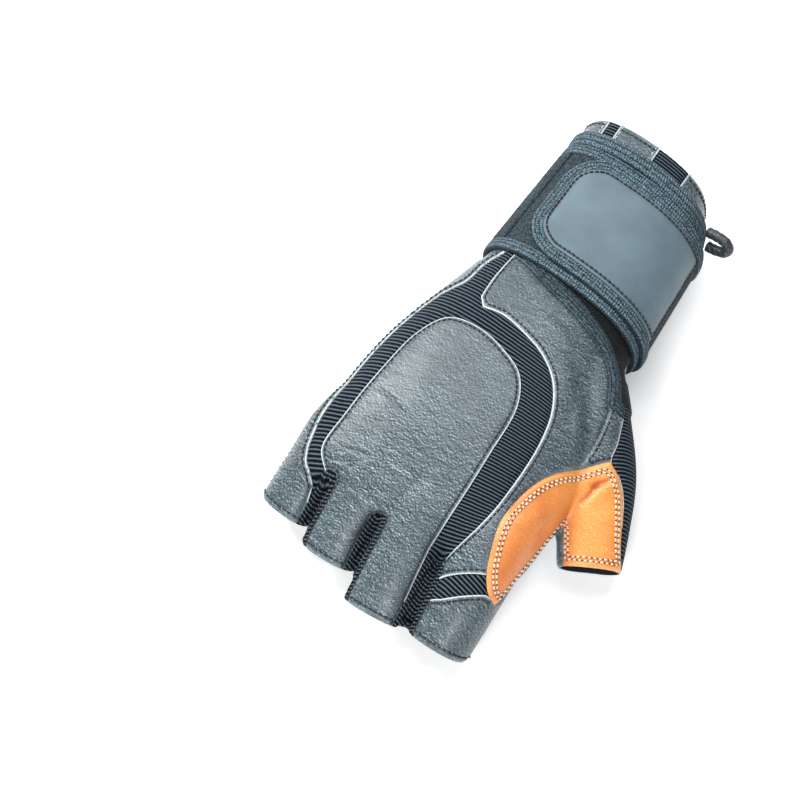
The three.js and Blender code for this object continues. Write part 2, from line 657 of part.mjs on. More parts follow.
// The strap's edge line from the start of one side round the tab's end to the start of the other
function strapLine(inset) {
  const cornerFrom = strapLength - tabRadius;
  const straight = strapPlaces.filter((along) => along < cornerFrom - clearance);
  const near = straight.map((along) => [along, strapEdges(along, inset)[0]]);
  const off = straight.map((along) => [along, strapEdges(along, inset)[1]]);
  const [low, high] = strapEdges(cornerFrom, 0);
  const turn = [0, 18, 36, 54, 72, 90].map((degrees) => THREE.MathUtils.degToRad(degrees));
  const reach = tabRadius - inset;
  const arc = turn.map((angle) => [cornerFrom + reach * Math.sin(angle), reach * Math.cos(angle)]);
  return [
    ...near,
    ...arc.map(([along, out]) => [along, low + tabRadius - out]),
    ...arc.reverse().map(([along, out]) => [along, high - tabRadius + out]),
    ...off.reverse(),
  ];
}
const bindingInner = strapLine(bindingWidth);
const strapBinding = loft(strapLine(0).map(([along, across], index) => {
  const [innerAlong, innerAcross] = bindingInner[index];
  return [
    onStrap(along, across, 0), onStrap(along, across, strapThickness),
    onStrap(innerAlong, innerAcross, strapThickness), onStrap(innerAlong, innerAcross, 0),
  ];
}));
const faceInset = bindingWidth + clearance;
const faceEnd = strapLength - faceInset;
glove.add(piece('wrap_strap', strapBand(0, faceEnd, 0, strapFace, faceInset), knitBinding()));
glove.add(piece('strap_binding', strapBinding, knitBinding()));

// What is sewn on the strap's face: the bare label patch on the tab, the loop field just past its end
const sewnOn = strapFace + clearance;
glove.add(piece('label_patch', strapBand(faceEnd - labelLength, faceEnd, sewnOn, sewnOn + labelThickness,
  faceInset), labelCloth()));
const fieldFrom = strapLength - secondTurn + 2 * clearance;
glove.add(piece('loop_field', strapBand(fieldFrom, fieldFrom + loopFieldLength, sewnOn,
  sewnOn + loopFieldThickness, faceInset), knitBinding()));

// The knitted band that hems the sleeve above the strap
const knitBandTop = strapLow - strapWidth - clearance;
const knitBandRing = (grow, past) => loft([knitBandTop - knitBandWidth - past, knitBandTop + past]
  .map((y) => turnOf(palmSides).map((angle) => sleevePoint(y, angle, grow))));
glove.add(piece('cuff_knit_band',
  knitBandRing(clearance + knitBandThickness, 0).subtract(knitBandRing(clearance, 1)), knitBinding()));

// The rolled leather pull loop stands out from that band on the thumb side
const rollSeat = clearance * 2 + knitBandThickness + pullRollRadius;
const rollPath = new THREE.CatmullRomCurve3(table('across angle grow', [
  [0.22, 176, 0], [0.24, 175.5, 0.5], [0.30, 173.5, 1], [0.40, 170.5, 1.15], [0.48, 167.5, 1], [0.52, 165.5, 0.5],
  [0.52, 165, 0],
]).map((row) => sleevePoint(knitBandTop - row.across * knitBandWidth,
  THREE.MathUtils.degToRad(row.angle), rollSeat + row.grow * pullRollReach)), false, 'centripetal');
const rollSection = new THREE.Shape(turnOf(8).map((angle) => new THREE.Vector2(
  pullRollRadius * Math.cos(angle), pullRollRadius * Math.sin(angle))));
glove.add(piece('pull_loop', solidOf(new THREE.ExtrudeGeometry(rollSection, {
  steps: 14, extrudePath: rollPath, bevelEnabled: false,
})), blackLeather()));

// A pull-off ribbon hangs from two hems and folds back under the hand, on edge at its far end
const ribbonPairs = table('name one other', [
  ['pull_off_ribbon_index', 'index', 'middle'],
  ['pull_off_ribbon_pinky', 'ring', 'pinky'],
]);
const ribbonBends = table('back spread lean', [
  [0.00, 0.0, 0], [0.30, 0.25, 35], [0.62, 0.42, 70], [0.90, 0.30, 88],
]);
for (const row of ribbonPairs) {
  const seat = 2 * clearance + gripThickness + ribbonThickness / 2;
  const starts = [[row.one, -80], [row.other, -100]].map(([finger, degrees]) => (
    digits[finger].point(ribbonSeam, THREE.MathUtils.degToRad(degrees), seat)));
  const middle = starts[0].clone().lerp(starts[1], 0.5);
  const upright = ribbonWidth / 2 + 2 * clearance;
  const rings = [];
  const sweep = [...ribbonBends.map((bend) => [-1, bend]), [0, { back: 1, spread: 0, lean: 90 }],
    ...[...ribbonBends].reverse().map((bend) => [1, bend])];
  const gap = (starts[1].x - starts[0].x) / 2;
  const centres = sweep.map(([side, bend]) => {
    const start = starts[side < 0 ? 0 : 1];
    const settled = Math.min(1, bend.back * 1.6);
    return new THREE.Vector3(
      middle.x + side * gap * (1 + bend.spread),
      mix(start.y, middle.y, settled) - bend.back * ribbonReach,
      mix(start.z, upright, settled),
    );
  });
  sweep.forEach(([side, bend], index) => {
    const ahead = centres[Math.min(index + 1, centres.length - 1)];
    const behind = centres[Math.max(index - 1, 0)];
    const along = ahead.clone().sub(behind).normalize();
    const flat = new THREE.Vector3(0, 0, 1).cross(along).normalize();
    const up = along.clone().cross(flat).normalize();
    const lean = THREE.MathUtils.degToRad(bend.lean) * (side > 0 ? -1 : 1);
    const broad = flat.clone().multiplyScalar(Math.cos(lean)).addScaledVector(up, Math.sin(lean));
    const thin = broad.clone().cross(along).normalize();
    rings.push([[1, 1], [-1, 1], [-1, -1], [1, -1]].map(([wide, thick]) => centres[index].clone()
      .addScaledVector(broad, (wide * ribbonWidth) / 2).addScaledVector(thin, (thick * ribbonThickness) / 2)));
  });
  glove.add(piece(row.name, loft(rings), webbing()));
}

// The origin is under the middle of the glove, on the surface that it lies on
const box = new THREE.Box3().setFromObject(glove);
const middle = box.getCenter(new THREE.Vector3());
glove.position.set(-middle.x, -middle.y, -box.min.z);

export default glove;
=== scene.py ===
import math
import bmesh
import bpy
import numpy as np
from mathutils import Matrix, Vector, noise
from mathutils.kdtree import KDTree


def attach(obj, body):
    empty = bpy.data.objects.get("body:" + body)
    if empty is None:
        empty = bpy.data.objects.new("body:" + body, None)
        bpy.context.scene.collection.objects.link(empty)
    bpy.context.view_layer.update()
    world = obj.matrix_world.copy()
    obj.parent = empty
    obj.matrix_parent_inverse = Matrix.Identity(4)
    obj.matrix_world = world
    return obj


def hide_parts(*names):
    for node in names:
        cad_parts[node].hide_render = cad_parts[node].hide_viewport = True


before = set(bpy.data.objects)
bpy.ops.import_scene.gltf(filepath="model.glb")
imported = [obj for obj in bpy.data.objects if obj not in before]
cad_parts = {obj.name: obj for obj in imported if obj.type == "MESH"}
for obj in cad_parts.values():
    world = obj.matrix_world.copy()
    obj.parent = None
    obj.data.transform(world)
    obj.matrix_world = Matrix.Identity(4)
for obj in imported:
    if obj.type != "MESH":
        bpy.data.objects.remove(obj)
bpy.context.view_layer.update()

millimetre = 0.001
handPlace = np.array([7.583, -37.945, 0.0])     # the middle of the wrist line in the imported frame

# Tables and curves

def table(columns, rows):
    return {name: np.array(values, float) for name, values in zip(columns.split(), zip(*rows))}


def eased(rows, key, place, name):
    keys, values = rows[key], rows[name]
    last = len(keys) - 1
    row = np.clip(np.searchsorted(keys[1:-1], place, side="left"), 0, last - 1)
    span = keys[row + 1] - keys[row]
    share = np.clip((place - keys[row]) / span, 0, 1)
    before, after = np.maximum(row - 1, 0), np.minimum(row + 2, last)
    slopeIn = (values[row + 1] - values[before]) / (keys[row + 1] - keys[before])
    slopeOut = (values[after] - values[row]) / (keys[after] - keys[row])
    ease = share * share * (3 - 2 * share)
    return (values[row] + (values[row + 1] - values[row]) * ease
            + span * share * (1 - share) * ((1 - share) * slopeIn - share * slopeOut))


def power(value, exponent):
    return np.sign(value) * np.abs(value) ** exponent


def unit(vectors):
    return vectors / np.maximum(np.linalg.norm(vectors, axis=-1, keepdims=True), 1e-9)


# A smooth curve through points, in steps of about the given length
def flow(points, step=1.5, closed=False):
    points = np.asarray(points, float)
    if closed:
        ring = np.concatenate([points[-1:], points, points[:2]])
    else:
        ring = np.concatenate([2 * points[:1] - points[1:2], points, 2 * points[-1:] - points[-2:-1]])
    curve = []
    for index in range(1, len(ring) - 2):
        a, b, c, d = ring[index - 1:index + 3]
        ab, bc, cd = [max(np.linalg.norm(v), 1e-6) ** 0.5 for v in (b - a, c - b, d - c)]
        slopeB = bc * ((b - a) / ab - (c - a) / (ab + bc) + (c - b) / bc)
        slopeC = bc * ((c - b) / bc - (d - b) / (bc + cd) + (d - c) / cd)
        steps = max(int(np.linalg.norm(c - b) / step), 1)
        share = np.arange(steps)[:, None] / steps
        curve.append(
            (2 * share ** 3 - 3 * share ** 2 + 1) * b + (share ** 3 - 2 * share ** 2 + share) * slopeB
            + (3 * share ** 2 - 2 * share ** 3) * c + (share ** 3 - share ** 2) * slopeC)
    if not closed:
        curve.append(ring[-2:-1])
    return np.concatenate(curve)


# The hand's driving sizes and its sections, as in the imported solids

hand = {
    "palmWidth": 98, "palmLength": 114, "handHeight": 51, "cuffLength": 68, "cuffWidth": 60, "cuffSkew": 0.12,
    "wall": 2.0, "clearance": 0.3, "gripThickness": 1.5, "strapThickness": 1.9, "strapFace": 1.5,
    "strapLength": 330, "strapWidth": 57, "tabWidth": 50, "tabRadius": 17, "bindingWidth": 4.5,
    "labelLength": 60, "loopFieldLength": 30, "knitBandWidth": 7.5, "knitBandThickness": 1.6,
    "fourchetteWidth": 7.0, "fourchetteRise": 3, "hemReach": 10, "roundness": 2.4,
}
leatherLevel = hand["gripThickness"] + hand["clearance"]
strapLayer = hand["strapThickness"] + hand["clearance"]
sleeveLevel = 2 * strapLayer
strapLow = 0.075 * hand["cuffLength"]
tall, wide, long = hand["handHeight"], hand["palmWidth"], hand["palmLength"]

sleeveSections = table("back side half top bottom", [
    [1.000, 0.067, 0.490, 0.915, 0.060],
    [0.763, 0.015, 0.524, 0.925, 0.050],
    [-0.075, 0.022, 0.569, 0.950, 0.050],
])
palmSections = table("along side half top bottom", [
    [0.105, 0.020, 0.366, 0.975, 0.040],
    [0.265, 0.036, 0.412, 1.000, -0.010],
    [0.480, 0.030, 0.480, 0.980, 0.000],
    [0.700, 0.038, 0.495, 0.930, 0.070],
    [0.875, 0.051, 0.503, 0.833, 0.157],
    [0.950, 0.056, 0.495, 0.775, 0.200],
    [1.015, 0.061, 0.470, 0.667, 0.285],
])
digitStations = {
    "index": [[-0.291, 0.737, 0.569, 0.143, 0.235], [-0.301, 0.895, 0.578, 0.137, 0.235],
              [-0.304, 1.070, 0.431, 0.134, 0.214], [-0.299, 1.237, 0.208, 0.122, 0.200]],
    "middle": [[-0.015, 0.737, 0.588, 0.148, 0.235], [-0.020, 0.895, 0.588, 0.142, 0.235],
               [-0.027, 1.070, 0.447, 0.135, 0.216], [-0.033, 1.246, 0.212, 0.132, 0.204]],
    "ring": [[0.224, 0.702, 0.578, 0.143, 0.231], [0.228, 0.851, 0.578, 0.132, 0.231],
             [0.230, 1.009, 0.441, 0.125, 0.212], [0.233, 1.158, 0.208, 0.120, 0.200]],
    "pinky": [[0.405, 0.658, 0.529, 0.110, 0.216], [0.440, 0.807, 0.529, 0.117, 0.212],
              [0.455, 0.956, 0.402, 0.111, 0.196], [0.476, 1.101, 0.198, 0.108, 0.188]],
    "thumb": [[-0.180, 0.193, 0.529, 0.172, 0.373], [-0.343, 0.351, 0.510, 0.156, 0.324],
              [-0.474, 0.500, 0.431, 0.154, 0.280], [-0.561, 0.640, 0.333, 0.139, 0.247],
              [-0.628, 0.759, 0.245, 0.122, 0.216]],
}
body = {
    "y": np.concatenate([-sleeveSections["back"] * hand["cuffLength"], palmSections["along"] * long]),
    "centre": np.concatenate([sleeveSections["side"] * hand["cuffWidth"], palmSections["side"] * wide]),
    "half": np.concatenate([sleeveSections["half"] * hand["cuffWidth"], palmSections["half"] * wide]),
    "top": np.concatenate([sleeveSections["top"], palmSections["top"]]) * tall,
    "bottom": np.concatenate([sleeveSections["bottom"], palmSections["bottom"]]) * tall,
    "level": np.array([sleeveLevel] * 4 + [leatherLevel] * 6),
    "skew": np.array([hand["cuffSkew"]] * 3 + [hand["cuffSkew"] / 2] + [0.0] * 6),
}


def bodyColumn(y, name):
    curved = eased(body, "y", y, name)
    return np.where(y < strapLow, np.interp(y, body["y"], body[name]), curved)


def bodyPoint(y, angle, grow):
    y, angle = np.broadcast_arrays(np.asarray(y, float), np.asarray(angle, float))
    section = {name: bodyColumn(y, name) for name in body if name != "y"}
    across = (section["half"] + grow) * power(np.cos(angle), 2 / hand["roundness"])
    middle = (section["top"] + section["bottom"]) / 2
    rise = ((section["top"] - section["bottom"]) / 2 + grow) * power(np.sin(angle), 2 / hand["roundness"])
    level = np.maximum(section["level"], leatherLevel) - grow
    return np.stack([section["centre"] + across, y - section["skew"] * across,
                     np.maximum(middle + rise, level)], -1)


def digit(rows):
    side, along, height, half, deep = np.array(rows).T
    return {"at": np.linspace(0, 1, len(rows)), "x": side * wide, "y": along * long, "z": height * tall,
            "half": half * wide, "deep": deep * tall}


digits = {name: digit(rows) for name, rows in digitStations.items()}


def digitAxis(name, share):
    share = np.asarray(share, float)
    rows = digits[name]
    place = np.stack([eased(rows, "at", share, key) for key in "xyz"], -1)
    step = 0.02     # in shares of the finger's length
    ahead, behind = np.minimum(share + step, 1), np.maximum(share - step, 0)
    along = unit(np.stack([eased(rows, "at", ahead, key) - eased(rows, "at", behind, key)
                           for key in "xyz"], -1))
    across = unit(-np.cross([0, 0, 1], along))
    return place, along, across, np.cross(across, along)


def digitPoint(name, share, angle, grow, past=0):
    share, angle = np.broadcast_arrays(np.asarray(share, float), np.asarray(angle, float))
    place, along, across, rise = digitAxis(name, share)
    half = eased(digits[name], "at", share, "half") + grow
    deep = eased(digits[name], "at", share, "deep") + grow
    spread = (half * power(np.cos(angle), 2 / hand["roundness"]))[..., None]
    lift = (deep * power(np.sin(angle), 2 / hand["roundness"]))[..., None]
    point = place + along * past + across * spread + rise * lift
    point[..., 2] = np.maximum(point[..., 2], leatherLevel - grow)
    return point


# The length along a path up to each of its points
def lengths(path):
    return np.concatenate([[0], np.cumsum(np.linalg.norm(np.diff(path, axis=0), axis=1))])


# Meshes

def ringFaces(rings, sides, capped=True, closedRound=True):
    span = sides if closedRound else sides - 1
    ring, side = np.meshgrid(np.arange(rings - 1), np.arange(span), indexing="ij")
    near = (ring * sides + side).ravel()
    nextOne = (ring * sides + (side + 1) % sides).ravel()
    faces = np.stack([near, near + sides, nextOne + sides, nextOne], -1).tolist()
    if capped:
        faces.append(list(range(sides)))
        faces.append(list(range((rings - 1) * sides, rings * sides))[::-1])
    return faces


def linked(name, data):
    piece = bpy.data.objects.new(name, data)
    bpy.context.collection.objects.link(piece)
    return piece


def newObject(name, points, faces, materials):
    mesh = bpy.data.meshes.new(name)
    placed = (np.asarray(points) + handPlace) * millimetre
    mesh.from_pydata(placed.tolist(), [], faces if isinstance(faces, list) else faces.tolist())
    mesh.update()
    for material in materials:
        mesh.materials.append(material)
    mesh.polygons.foreach_set("use_smooth", np.ones(len(mesh.polygons), bool))
    return linked(name, mesh)


def setAttribute(piece, name, values):
    attribute = piece.data.attributes.new(name, "FLOAT", "POINT")
    attribute.data.foreach_set("value", np.asarray(values, np.float32))


def settle(piece, slot, *nodes):
    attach(piece, "root")
    if nodes:
        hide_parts(*nodes)


def normalsOf(points, faces):
    corners = points[faces]
    facing = np.cross(corners[:, 1] - corners[:, 0], corners[:, 2] - corners[:, 0])
    normals = np.zeros_like(points)
    for corner in range(3):
        for axis in range(3):
            normals[:, axis] += np.bincount(faces[:, corner], facing[:, axis], len(points))
    return unit(normals)


def faceEdges(faces):
    return np.concatenate([faces[:, [0, 1]], faces[:, [1, 2]], faces[:, [2, 0]]])


def smoothed(points, faces, rounds, keep=None):
    edges = np.unique(np.sort(faceEdges(faces), axis=1), axis=0)
    count = np.bincount(edges.ravel(), minlength=len(points))[:, None]
    for _ in range(rounds):
        total = np.zeros_like(points)
        for axis in range(3):
            total[:, axis] += np.bincount(edges[:, 0], points[edges[:, 1], axis], len(points))
            total[:, axis] += np.bincount(edges[:, 1], points[edges[:, 0], axis], len(points))
        share = 0.5 if keep is None else 0.5 * keep[:, None]
        points = points + (total / np.maximum(count, 1) - points) * share
    return points


# The whole leather surface, remeshed evenly and smoothed where fingers and thumb join the palm

surfaceMaking = {
    "voxel": 0.72, "reach": 4.0, "ringStep": 1.4, "bodySides": 144, "digitSides": 64, "digitRings": 42,
    "rounds": 10, "joinRounds": 14, "forkReach": 16, "webReach": 15,
}


def turns(sides):
    return np.arange(sides) * 2 * math.pi / sides


def leatherSurface():
    reach = surfaceMaking["reach"]
    rings = np.arange(-hand["cuffLength"], long * palmSections["along"][-1], surfaceMaking["ringStep"])
    rings = np.concatenate([[-hand["cuffLength"] - reach], rings])
    around, turn = turns(surfaceMaking["bodySides"]), turns(surfaceMaking["digitSides"])
    meshes = [(bodyPoint(rings[:, None], around[None, :], 0), len(around))]
    shares = np.linspace(0, 1, surfaceMaking["digitRings"])
    for name in digits:
        tube = digitPoint(name, shares[:, None], turn[None, :], 0)
        tip = digitPoint(name, np.ones(1)[:, None], turn[None, :], 0, reach)
        meshes.append((np.concatenate([tube, tip]), len(turn)))
    points, faces = [], []
    for grid, sides in meshes:
        start = sum(len(part) for part in points)
        points.append(grid.reshape(-1, 3))
        faces += [[corner + start for corner in face] for face in ringFaces(len(grid), sides)]
    shape = newObject("surface", np.concatenate(points), faces, [])
    remesh = shape.modifiers.new("remesh", "REMESH")
    remesh.mode = "VOXEL"
    remesh.voxel_size = surfaceMaking["voxel"] * millimetre
    made = shape.evaluated_get(bpy.context.evaluated_depsgraph_get()).to_mesh()
    made.calc_loop_triangles()
    corners = np.empty(len(made.vertices) * 3)
    made.vertices.foreach_get("co", corners)
    triangles = np.empty(len(made.loop_triangles) * 3, np.int32)
    made.loop_triangles.foreach_get("vertices", triangles)
    bpy.data.objects.remove(shape)
    points = corners.reshape(-1, 3) / millimetre - handPlace
    faces = triangles.reshape(-1, 3)
    points = smoothed(points, faces, surfaceMaking["rounds"])
    fork = np.exp(-((points[:, 1] - 1.0 * long) / surfaceMaking["forkReach"]) ** 2)
    webSpan = (points[:, 0] + 0.47 * wide) ** 2 + (points[:, 1] - 0.55 * long) ** 2
    web = np.exp(-webSpan / surfaceMaking["webReach"] ** 2)
    points = smoothed(points, faces, surfaceMaking["joinRounds"], np.maximum(fork, web))
    points[:, 2] = np.maximum(points[:, 2], leatherLevel)
    return {"points": points, "faces": faces, "normals": normalsOf(points, faces)}


# Where a zero line of the values crosses edges: which points and how many corners of each face lie inside,
# the mixed faces with their lone corner first, the crossed edges, each such face's two of them, and the places
def crossings(faces, values):
    inside = values < 0
    count = inside[faces].sum(1)
    mixed = faces[(count == 1) | (count == 2)]
    lone = np.where((inside[mixed].sum(1) == 1)[:, None], inside[mixed], ~inside[mixed]).argmax(1)
    rolled = np.stack([mixed[np.arange(len(mixed)), (lone + turn) % 3] for turn in range(3)], -1)
    edges = np.sort(np.concatenate([rolled[:, [0, 1]], rolled[:, [0, 2]]]), axis=1)
    crossed, where = np.unique(edges, axis=0, return_inverse=True)
    near, off = values[crossed[:, 0]], values[crossed[:, 1]]
    return inside, count, rolled, crossed, where.reshape(2, -1), near / (near - off)


def between(values, edges, share):
    share = share.reshape(-1, *[1] * (values.ndim - 1))
    return values[edges[:, 0]] * (1 - share) + values[edges[:, 1]] * share


# The two parts of a surface, where the values are under zero and where they aren't
def splitSurface(surface, values):
    points, faces, normals = surface["points"], surface["faces"], surface["normals"]
    inside, count, rolled, crossed, (first, second), share = crossings(faces, values)
    first, second = first + len(points), second + len(points)
    points = np.concatenate([points, between(points, crossed, share)])
    normals = np.concatenate([normals, unit(between(normals, crossed, share))])
    alone, b, c = rolled.T
    loneInside = inside[alone]
    tips = np.stack([alone, first, second], -1)
    pairs = np.concatenate([np.stack([first, b, c], -1), np.stack([first, c, second], -1)])
    both = np.concatenate([loneInside, loneInside])
    result = []
    for part in ([faces[count == 3], tips[loneInside], pairs[~both]],
                 [faces[count == 0], tips[~loneInside], pairs[both]]):
        used, index = np.unique(np.concatenate(part), return_inverse=True)
        result.append({"points": points[used], "faces": index.reshape(-1, 3), "normals": normals[used]})
    return result


# Lines on a surface where the values cross zero, as chains of points with their normals and a kept value
def isoLines(surface, values, kept):
    _, _, _, unique, where, share = crossings(surface["faces"], values)
    places = between(surface["points"], unique, share)
    facing = unit(between(surface["normals"], unique, share))
    carried = between(kept, unique, share)
    touching = [[] for _ in unique]
    for one, other in where.T.tolist():
        touching[one].append(other)
        touching[other].append(one)
    seen = set()
    chains = []
    for first in sorted(range(len(unique)), key=lambda index: len(touching[index]) != 1):
        if first in seen:
            continue
        chain = [first]
        seen.add(first)
        while True:
            onward = [index for index in touching[chain[-1]] if index not in seen]
            if not onward:
                break
            chain.append(onward[0])
            seen.add(onward[0])
        if len(chain) > 4 and chain[0] in touching[chain[-1]]:
            chain.append(chain[0])
        chains.append((places[chain], facing[chain], carried[chain]))
    return chains


# The stretches of a chain where a test holds, evened out along their length
def stretches(chain, holds, shortest=6.0):
    places, facing, carried = chain
    inside = holds(places, carried)
    runs = []
    start = None
    for index in range(len(places) + 1):
        if index < len(places) and inside[index]:
            start = index if start is None else start
        elif start is not None:
            runs.append((start, index))
            start = None
    rows = []
    for start, end in runs:
        run, out = places[start:end].copy(), facing[start:end].copy()
        if len(run) < 4 or np.linalg.norm(np.diff(run, axis=0), axis=1).sum() < shortest:
            continue
        for _ in range(6):
            run[1:-1] = run[1:-1] / 2 + (run[:-2] + run[2:]) / 4
            out[1:-1] = out[1:-1] / 2 + (out[:-2] + out[2:]) / 4
        rows.append((run, unit(out)))
    return rows


# The stretches of all lines of a surface where the values cross zero
def rowsOn(surface, values, kept, holds):
    rows = []
    for chain in isoLines(surface, values, kept):
        rows += stretches(chain, holds)
    return rows


# How far places in plan lie outside a closed outline, less than zero inside it
def outlineGap(outline, places):
    outline = np.asarray(outline, float)
    ahead = np.roll(outline, -1, axis=0)
    best = np.full(len(places), 1e9)
    inside = np.zeros(len(places), bool)
    for a, b in zip(outline, ahead):
        edge = b - a
        length = edge @ edge
        if length < 1e-12:
            continue
        share = np.clip(((places - a) @ edge) / length, 0, 1)
        best = np.minimum(best, ((places - a - share[:, None] * edge) ** 2).sum(1))
        crosses = (a[1] > places[:, 1]) != (b[1] > places[:, 1])
        at = a[0] + (places[:, 1] - a[1]) * edge[0] / (edge[1] if edge[1] else 1e-9)
        inside ^= crosses & (places[:, 0] < at)
    return np.where(inside, -1, 1) * np.sqrt(best)


# The level that parts the hand's back from its palm side
def splitLevel(places):
    x, y = places[:, 0], places[:, 1]
    middle = (bodyColumn(y, "top") + bodyColumn(y, "bottom")) / 2

    def own(name):
        rows = digits[name]
        return eased(rows, "y", np.maximum(y, rows["y"][0]), "z")

    columns = [(-2 * wide, own("thumb")), (-0.52 * wide, own("thumb")),
               (-0.40 * wide, np.minimum(middle, own("index")))]
    for name in ("index", "middle", "ring", "pinky"):
        columns.append((digits[name]["x"][-1], np.minimum(middle, own(name))))
    columns.append((2 * wide, np.minimum(middle, own("pinky"))))
    stops = np.array([column[0] for column in columns])
    levels = np.stack([column[1] for column in columns], -1)
    left = np.clip(np.searchsorted(stops, x) - 1, 0, len(stops) - 2)
    share = np.clip((x - stops[left]) / (stops[left + 1] - stops[left]), 0, 1)
    each = np.arange(len(x))
    return levels[each, left] * (1 - share) + levels[each, left + 1] * share


# How far a surface's points lie outside the room that a back outline and a palm outline enclose
def roomGap(surface, back, palm):
    places = surface["points"][:, :2]
    above = splitLevel(places) - surface["points"][:, 2]
    gap = np.full(len(places), 1e9)
    if back is not None:
        gap = np.minimum(gap, np.maximum(outlineGap(back, places), above))
    if palm is not None:
        gap = np.minimum(gap, np.maximum(outlineGap(palm, places), -above))
    return gap


# Seam lines: across in shares of the palm's width, along in shares of its length

seams = {
    "knuckle": [[0.367, 1.000], [0.435, 0.935], [0.430, 0.800], [0.410, 0.620], [0.370, 0.440],
                [0.300, 0.355], [0.165, 0.345], [0.035, 0.375], [-0.062, 0.420], [-0.125, 0.520],
                [-0.135, 0.700], [-0.133, 0.870], [-0.122, 1.040]],
    "bandThumb": [[0.205, 0.270], [0.120, 0.265], [0.020, 0.285], [-0.085, 0.318], [-0.175, 0.375],
                  [-0.240, 0.470], [-0.268, 0.600], [-0.265, 0.760], [-0.240, 0.910], [-0.184, 1.040]],
    "bandWrist": [[0.235, -0.100], [0.238, 0.040], [0.243, 0.150], [0.237, 0.236]],
    "bandPinky": [[0.405, 1.030], [0.468, 0.985], [0.505, 0.880], [0.512, 0.740], [0.498, 0.560],
                  [0.462, 0.400], [0.400, 0.265], [0.335, 0.190], [0.318, 0.090], [0.265, -0.020],
                  [0.262, -0.100]],
    "palmPinky": [[0.262, -0.100], [0.290, 0.040], [0.342, 0.120], [0.380, 0.250], [0.436, 0.410],
                  [0.472, 0.540], [0.496, 0.650], [0.545, 0.730]],
    "webBack": [[-0.470, 1.045], [-0.440, 1.070], [-0.402, 1.070], [-0.362, 1.035], [-0.328, 0.965],
                [-0.300, 0.860], [-0.310, 0.760], [-0.350, 0.660], [-0.410, 0.580], [-0.470, 0.515],
                [-0.513, 0.478]],
    "meshBack": [[-0.440, 0.270], [-0.470, 0.340], [-0.500, 0.420], [-0.513, 0.478], [-0.560, 0.498],
                 [-0.610, 0.535], [-0.655, 0.600], [-0.700, 0.670], [-0.750, 0.735], [-0.800, 0.820]],
    "meshPalm": [[-0.380, 0.230], [-0.437, 0.307], [-0.546, 0.465], [-0.622, 0.614], [-0.684, 0.737],
                 [-0.735, 0.833]],
    "thumbBack": [[-0.425, 0.560], [-0.428, 0.460], [-0.418, 0.385], [-0.395, 0.300], [-0.36, 0.24]],
    "gusset": [[0.238, 0.020], [0.150, 0.045], [0.030, 0.090], [-0.070, 0.115], [-0.185, 0.150],
               [-0.290, 0.190], [-0.350, 0.245], [-0.400, 0.330]],
    "fingerPalm": [[-0.500, 0.930], [-0.370, 0.905], [-0.235, 0.884], [-0.070, 0.877], [0.040, 0.862],
                   [0.165, 0.840], [0.265, 0.802], [0.378, 0.788], [0.490, 0.785], [0.600, 0.710]],
    "thumbPalm": [[-0.120, -0.100], [-0.165, 0.070], [-0.225, 0.140], [-0.265, 0.245], [-0.296, 0.360],
                  [-0.357, 0.500], [-0.440, 0.605], [-0.500, 0.690]],
    "ribInsertEdge": [[-0.130, 1.130], [-0.355, 1.028], [-0.470, 1.000]],
}
insertTip = [[-0.470, 1.060], [-0.390, 1.074], [-0.250, 1.150], [-0.130, 1.185]]
scale = np.array([wide, long])
seamLines = {name: flow(np.array(rows) * scale) for name, rows in seams.items()}
far = 2.2     # past every edge of the glove, in shares


def outline(*parts):
    return np.concatenate([seamLines[part] if isinstance(part, str) else np.array(part) * scale
                           for part in parts])


def fourchetteOutline(one, other, fork):
    hem = max(digits[one]["y"][-1], digits[other]["y"][-1]) + hand["hemReach"]
    width = hand["fourchetteWidth"] / 2
    start = fork * long

    def line(y):
        left, right = digits[one], digits[other]
        yLeft, yRight = min(y, left["y"][-1]), min(y, right["y"][-1])
        return (eased(left, "y", np.array(yLeft), "x") + eased(left, "y", np.array(yLeft), "half")
                + eased(right, "y", np.array(yRight), "x") - eased(right, "y", np.array(yRight), "half")) / 2

    sides = [hem, hem + (start - hem) * 0.45, hem + (start - hem) * 0.8]
    end = [(line(start) + width * math.cos(angle), start + hand["fourchetteRise"] - width * math.sin(angle))
           for angle in np.radians([30, 60, 90, 120, 150])]
    return np.array([(line(y) + width, y) for y in sides] + end + [(line(y) - width, y) for y in sides[::-1]])


# The panels are cut from the surface one after another, in the order in which they lie on each other

